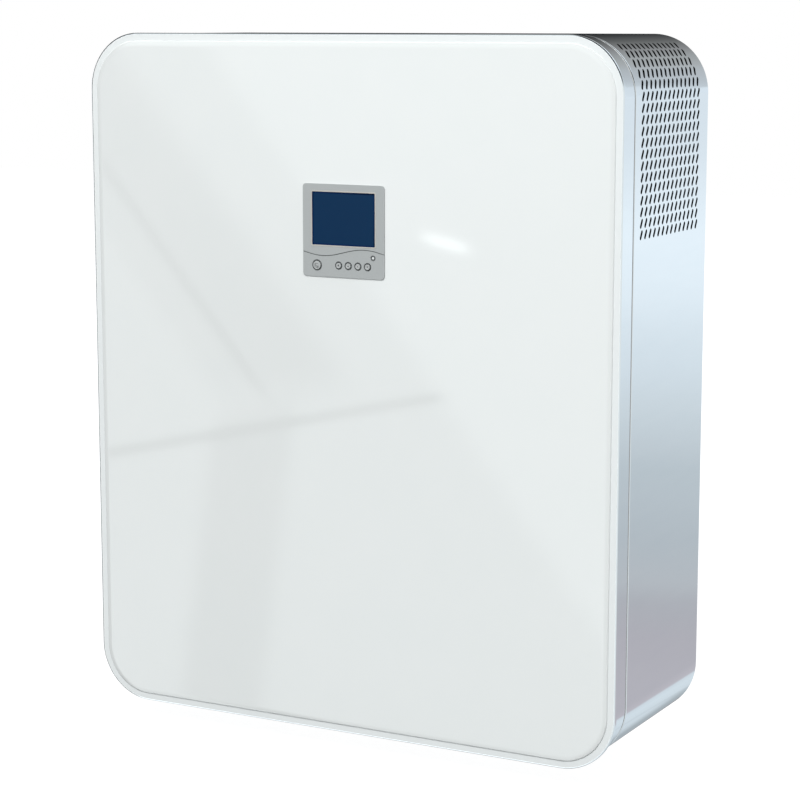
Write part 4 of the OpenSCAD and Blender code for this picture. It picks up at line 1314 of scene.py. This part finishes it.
@dataclass
class Studio:
    """Camera, lamps, surroundings and floor."""

    place: tuple[float, float, float] = (0.94794, -1.83039, 0.30433)
    tilt: float = 80.67
    turn: float = 28.41
    lens: float = 104.07
    # Darkest and brightest of the light that matt surfaces take from the room, below and above
    soft: tuple[float, float] = (0.06, 0.785)
    shine: float = 1.13
    facing_level: float = 1.0
    # Height of the line of sight to the colour that a polished wall shows there, below the horizon
    wall: tuple[tuple[float, str], ...] = (
        (-1.0, "8F999F"), (-0.50, "C4CFD6"), (-0.42, "CEDAE1"), (-0.385, "CAD5DC"), (-0.364, "B6B4BB"),
        (-0.28, "B0AFB6"), (-0.262, "ADACB3"), (-0.246, "AAADB3"), (-0.238, "B2B8BD"), (-0.22, "AFB8BE"),
        (-0.20, "B5BFC5"), (-0.19, "B5C0C6"), (-0.182, "BDC7CD"), (-0.173, "C2CDD3"), (-0.163, "C8D3D9"),
        (-0.147, "D0DCE3"), (-0.132, "D5E1E8"), (-0.125, "DAE6ED"), (-0.112, "E0ECF3"), (-0.09, "E4F0F7"),
        (-0.05, "D5E0E7"), (0.0, "D5E1E9"),
    )
    # Sideways part of the line of sight to the same, above the horizon
    ceiling: tuple[tuple[float, str], ...] = (
        (-1.0, "9AA1A5"), (-0.68, "8C9295"), (-0.6, "0E0F10"), (-0.42, "24272A"), (-0.35, "3B3D3E"),
        (-0.30, "4B4D4E"), (-0.25, "565858"), (-0.20, "636565"), (-0.15, "707272"), (-0.05, "848687"),
        (0.05, "95999A"), (0.15, "A0A5A6"), (0.20, "A6ABAD"), (0.25, "ADB4B8"), (0.30, "B1B8BD"),
        (0.345, "B6BFC5"), (0.37, "C4CED4"), (1.0, "CDD6DC"),
    )
    # Where the ceiling starts: between two places sideways, its lower edge falls from one height to another
    ceiling_line: tuple[float, float, float, float] = (0.354, 0.39, 0.053, -0.001)
    # The pale beam over that edge: between two places sideways, the ceiling's share falls
    beam: tuple[float, float, float, float] = (0.352, 0.372, 1.0, 0.3)
    # Half the blur of the ceiling's edge, and the heights between which the beam ends
    blur: float = 0.004
    beam_top: tuple[float, float] = (0.1, 0.13)
    # To the left the ceiling comes down to the horizon: where it starts sideways, and its edge's blur
    left: tuple[float, float] = (-0.1, -0.2)
    left_blur: tuple[float, float] = (-0.006, 0.0)
    # Depths between which the room in front goes over to the room behind
    back: tuple[float, float] = (-0.05, 0.2)
    # Colours of the room in front and of the sky that lights matt surfaces
    front_tint: str = "F3FBFC"
    sky_tint: str = "FAFDFF"
    # The floor: how far under the object, half its side, its glow, and its colours for light and for the eye
    drop: float = 0.0005
    floor_half: float = 6.0
    glow: float = 0.94
    floor_tints: tuple[str, str] = ("606060", "686868")
    under: tuple[Shade, ...] = (
        Shade(-0.42, (Stripe(ACROSS, -0.28, 0.22, 0.12), Stripe(UP, -0.66, 0.35, 0.03))),
        Shade(1.2, (Stripe(ACROSS, 0.36, 0.66, 0.06), Stripe(UP, 0.9, 0.36, 0.06))),
        Shade(-0.5, (Stripe(ACROSS, -0.55, 0.35, 0.05), Stripe(UP, -0.85, 0.33, 0.05))),
        Shade(-0.09, (Stripe((0.10, 0.45, 0.888), 0.001, 0.004, 0.003), Stripe(ACROSS, 0.03, 0.13, 0.05))),
    )
    facing: tuple[Shade, ...] = (
        Shade(0.5, (SLOPE,)), Shade(-0.55, (RAFTER, ABOVE_RAIL)), Shade(-0.35, (RAFTER_SIDE, ABOVE_RAIL)),
        Shade(-0.7, (RAFTER_EDGE, ABOVE_RAIL)), Shade(-0.6, (POST, BELOW_RAIL)),
        Shade(-0.9, (RAIL, SHADED_SLOPE)), Shade(3.0, (LAMP_ACROSS, LAMP_ALONG)),
        # Dark to the far left and overhead, less bright to the right, brighter low down in the middle
        Shade(-0.92, (Stripe(ACROSS, -1.2, 0.57, 0.03),)), Shade(-0.9, (Stripe(UP, 0.8, 0.55, 0.1),)),
        Shade(-0.62, (Stripe(ACROSS, 0.75, 1.0, 0.08), SLOPE)),
        Shade(0.6, (Stripe(UP, -0.5, 0.27, 0.12), Stripe(ACROSS, -0.46, 0.16, 0.04))),
    )
    lights: tuple[Lamp, ...] = (
        Lamp("main_lamp", (0.8, -3.5, 3.0), 1.2, 158.0), Lamp("fill_lamp", (-1.8, -2.8, 0.25), 1.0, 8.0),
        Lamp("rear_lamp", (-0.8, 3.2, 2.2), 1.6, 150.0),
    )

    def camera(self) -> None:
        """Makes the camera and puts it to use."""
        data = bpy.data.cameras.new("camera")
        data.lens, data.sensor_width = self.lens, 36.0
        made = put("camera", data)
        made.location = self.place
        made.rotation_euler = (math.radians(self.tilt), 0, math.radians(self.turn))
        bpy.context.scene.camera = made

    def _ramp(self, tree: NodeTree, along: NodeSocket, stops: Sequence[tuple[float, str]]) -> NodeSocket:
        """Adds a colour ramp.

        Args:
            tree: the world's node tree.
            along: the value that the ramp runs on.
            stops: value and colour of each stop, in rising order.

        Returns:
            The ramp's colour.
        """
        low, high = stops[0][0], stops[-1][0]
        ramp = add(tree, "ShaderNodeValToRGB", (add(tree, SPAN, (along, low, high)),))
        marks = ramp.color_ramp.elements
        for value, _ in stops[1:-1]:
            marks.new((value - low) / (high - low))
        for mark, (_, code) in zip(marks, stops):
            mark.color = linear(code)
        return ramp.outputs[0]

    def _shades(self, tree: NodeTree, way: NodeSocket, level: float, shades: Iterable[Shade]) -> NodeSocket:
        """Adds a room's brightness, with its lighter and darker places.

        Args:
            tree: the world's node tree.
            way: direction of the line of sight.
            level: brightness between the places.
            shades: the places.

        Returns:
            The brightness.
        """
        total: float | Node = level
        for shade in shades:
            part: float | Node = shade.gain
            for stripe in shade.stripes:
                dot = add(tree, "ShaderNodeVectorMath", (way, stripe.across), operation="DOT_PRODUCT")
                off = add(tree, MATH, (dot.outputs["Value"], stripe.middle), operation="SUBTRACT")
                away = add(tree, MATH, (off,), operation="ABSOLUTE")
                fade = (stripe.half - stripe.soft, stripe.half + stripe.soft, 1.0, 0.0)
                inside = add(tree, SPAN, (away, *fade), interpolation_type="SMOOTHSTEP")
                part = add(tree, MATH, (part, inside), operation="MULTIPLY")
            total = add(tree, MATH, (total, part), operation="ADD")
        return add(tree, MATH, (total, DARKEST), operation="MAXIMUM").outputs[0]

    def surroundings(self) -> None:
        """Makes the room that lights the object: even for matt surfaces, with walls and ceiling for shiny."""
        world = bpy.data.worlds.new("room")
        bpy.context.scene.world = world
        tree = blank(world)
        ray = add(tree, "ShaderNodeLightPath").outputs
        way = add(tree, "ShaderNodeTexCoord").outputs["Generated"]
        xyz = add(tree, "ShaderNodeSeparateXYZ", (way,)).outputs
        wall = self._ramp(tree, xyz[2], self.wall)
        ceiling = self._ramp(tree, xyz[0], self.ceiling)
        # The ceiling starts at a sloping line; nearer the front, a pale beam lies between wall and ceiling
        line = add(tree, SPAN, (xyz[0], *self.ceiling_line))
        off = add(tree, MATH, (xyz[2], line), operation="SUBTRACT")
        over = add(tree, SPAN, (off, -self.blur, self.blur))
        low = add(tree, MATH, (over, add(tree, SPAN, (xyz[0], *self.beam))), operation="MULTIPLY")
        high = add(tree, SPAN, (xyz[2], *self.beam_top))
        left = add(tree, SPAN, (xyz[0], *self.left))
        grazing = add(tree, SPAN, (xyz[2], *self.left_blur))
        edge = add(tree, MATH, (left, grazing), operation="MULTIPLY")
        above = add(tree, MATH, (low, high), operation="MAXIMUM")
        above = add(tree, MATH, (above, edge), operation="MAXIMUM")
        sides = add(tree, "ShaderNodeMix", {0: above, 6: wall, 7: ceiling}, data_type="RGBA").outputs[2]
        under = self._shades(tree, way, 1.0, self.under)
        room = add(tree, LIGHT, (sides, add(tree, MATH, (under, self.shine), operation="MULTIPLY")))
        front = self._shades(tree, way, self.facing_level, self.facing)
        facing = add(tree, LIGHT, (linear(self.front_tint), front))
        behind = add(tree, SPAN, (xyz[1], *self.back))
        shiny = add(tree, MIX, (behind, facing, room))
        sky = add(tree, SPAN, (xyz[2], -1.0, 1.0, *self.soft))
        soft = add(tree, LIGHT, (linear(self.sky_tint), sky))
        lit = add(tree, MIX, (ray["Is Glossy Ray"], soft, shiny))
        seen = add(tree, MIX, (ray["Is Camera Ray"], lit, add(tree, LIGHT, (WHITE, 1.0))))
        add(tree, "ShaderNodeOutputWorld", (seen,))

    def lamps(self) -> None:
        """Makes the soft lamps, which shiny surfaces don't mirror."""
        for lamp in self.lights:
            data = bpy.data.lights.new(lamp.name, "AREA")
            data.size, data.energy = lamp.size, lamp.power
            made = put(lamp.name, data)
            made.location = lamp.place
            made.rotation_euler = Vector(lamp.place).to_track_quat("Z", "Y").to_euler()
            made.visible_glossy = False

    def floor(self) -> None:
        """Makes the pale floor, which is white to the eye and clear to reflections."""
        level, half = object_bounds()[0].z - self.drop, self.floor_half
        corners = [(x * half, y * half, level) for x, y in ((-1, -1), (1, -1), (1, 1), (-1, 1))]
        mesh = bpy.data.meshes.new("floor")
        mesh.from_pydata(corners, [], [(0, 1, 2, 3)])
        made = put("floor", mesh)
        paint = bpy.data.materials.new("pale_floor_paint")
        tree = blank(paint)
        ray = add(tree, "ShaderNodeLightPath").outputs
        matt, faint = (add(tree, "ShaderNodeBsdfDiffuse", (linear(tint),)) for tint in self.floor_tints)
        # To the eye the floor is all but white by itself; the light that falls on it keeps a faint shadow
        glow = add(tree, "ShaderNodeEmission", (WHITE, self.glow))
        bright = add(tree, "ShaderNodeAddShader", (glow, faint))
        seen = add(tree, MIX, (ray["Is Camera Ray"], matt, bright))
        mirrored = add(tree, MATH, (ray["Is Glossy Ray"], ray["Is Transmission Ray"]), operation="MAXIMUM")
        out = add(tree, MIX, (mirrored, seen, add(tree, "ShaderNodeBsdfTransparent")))
        add(tree, "ShaderNodeOutputMaterial", (out,))
        mesh.materials.append(paint)
        made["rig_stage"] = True

    def build(self) -> None:
        """Sets the whole studio up."""
        bpy.context.scene.view_settings.view_transform = "Standard"
        self.camera()
        self.surroundings()
        self.lamps()
        self.floor()


# ---------------- main


def main() -> None:
    """Builds the dressed unit, sub-assembly by sub-assembly."""
    logging.basicConfig(level=logging.INFO, format="%(message)s")
    for thing in list(bpy.data.objects):
        bpy.data.objects.remove(thing)
    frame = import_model()
    store = Store()
    made = [Casing(store).build(), *Door(store).build(), *Controls(store).build()]
    replaced = {node for piece in made for node in piece.get("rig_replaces", [])}
    dress_nodes(frame, store, replaced)
    for piece in made:
        LOG.info("%s: %d faces", piece.name, len(piece.data.polygons))
    Studio().build()


if __name__ == "__main__":
    main()
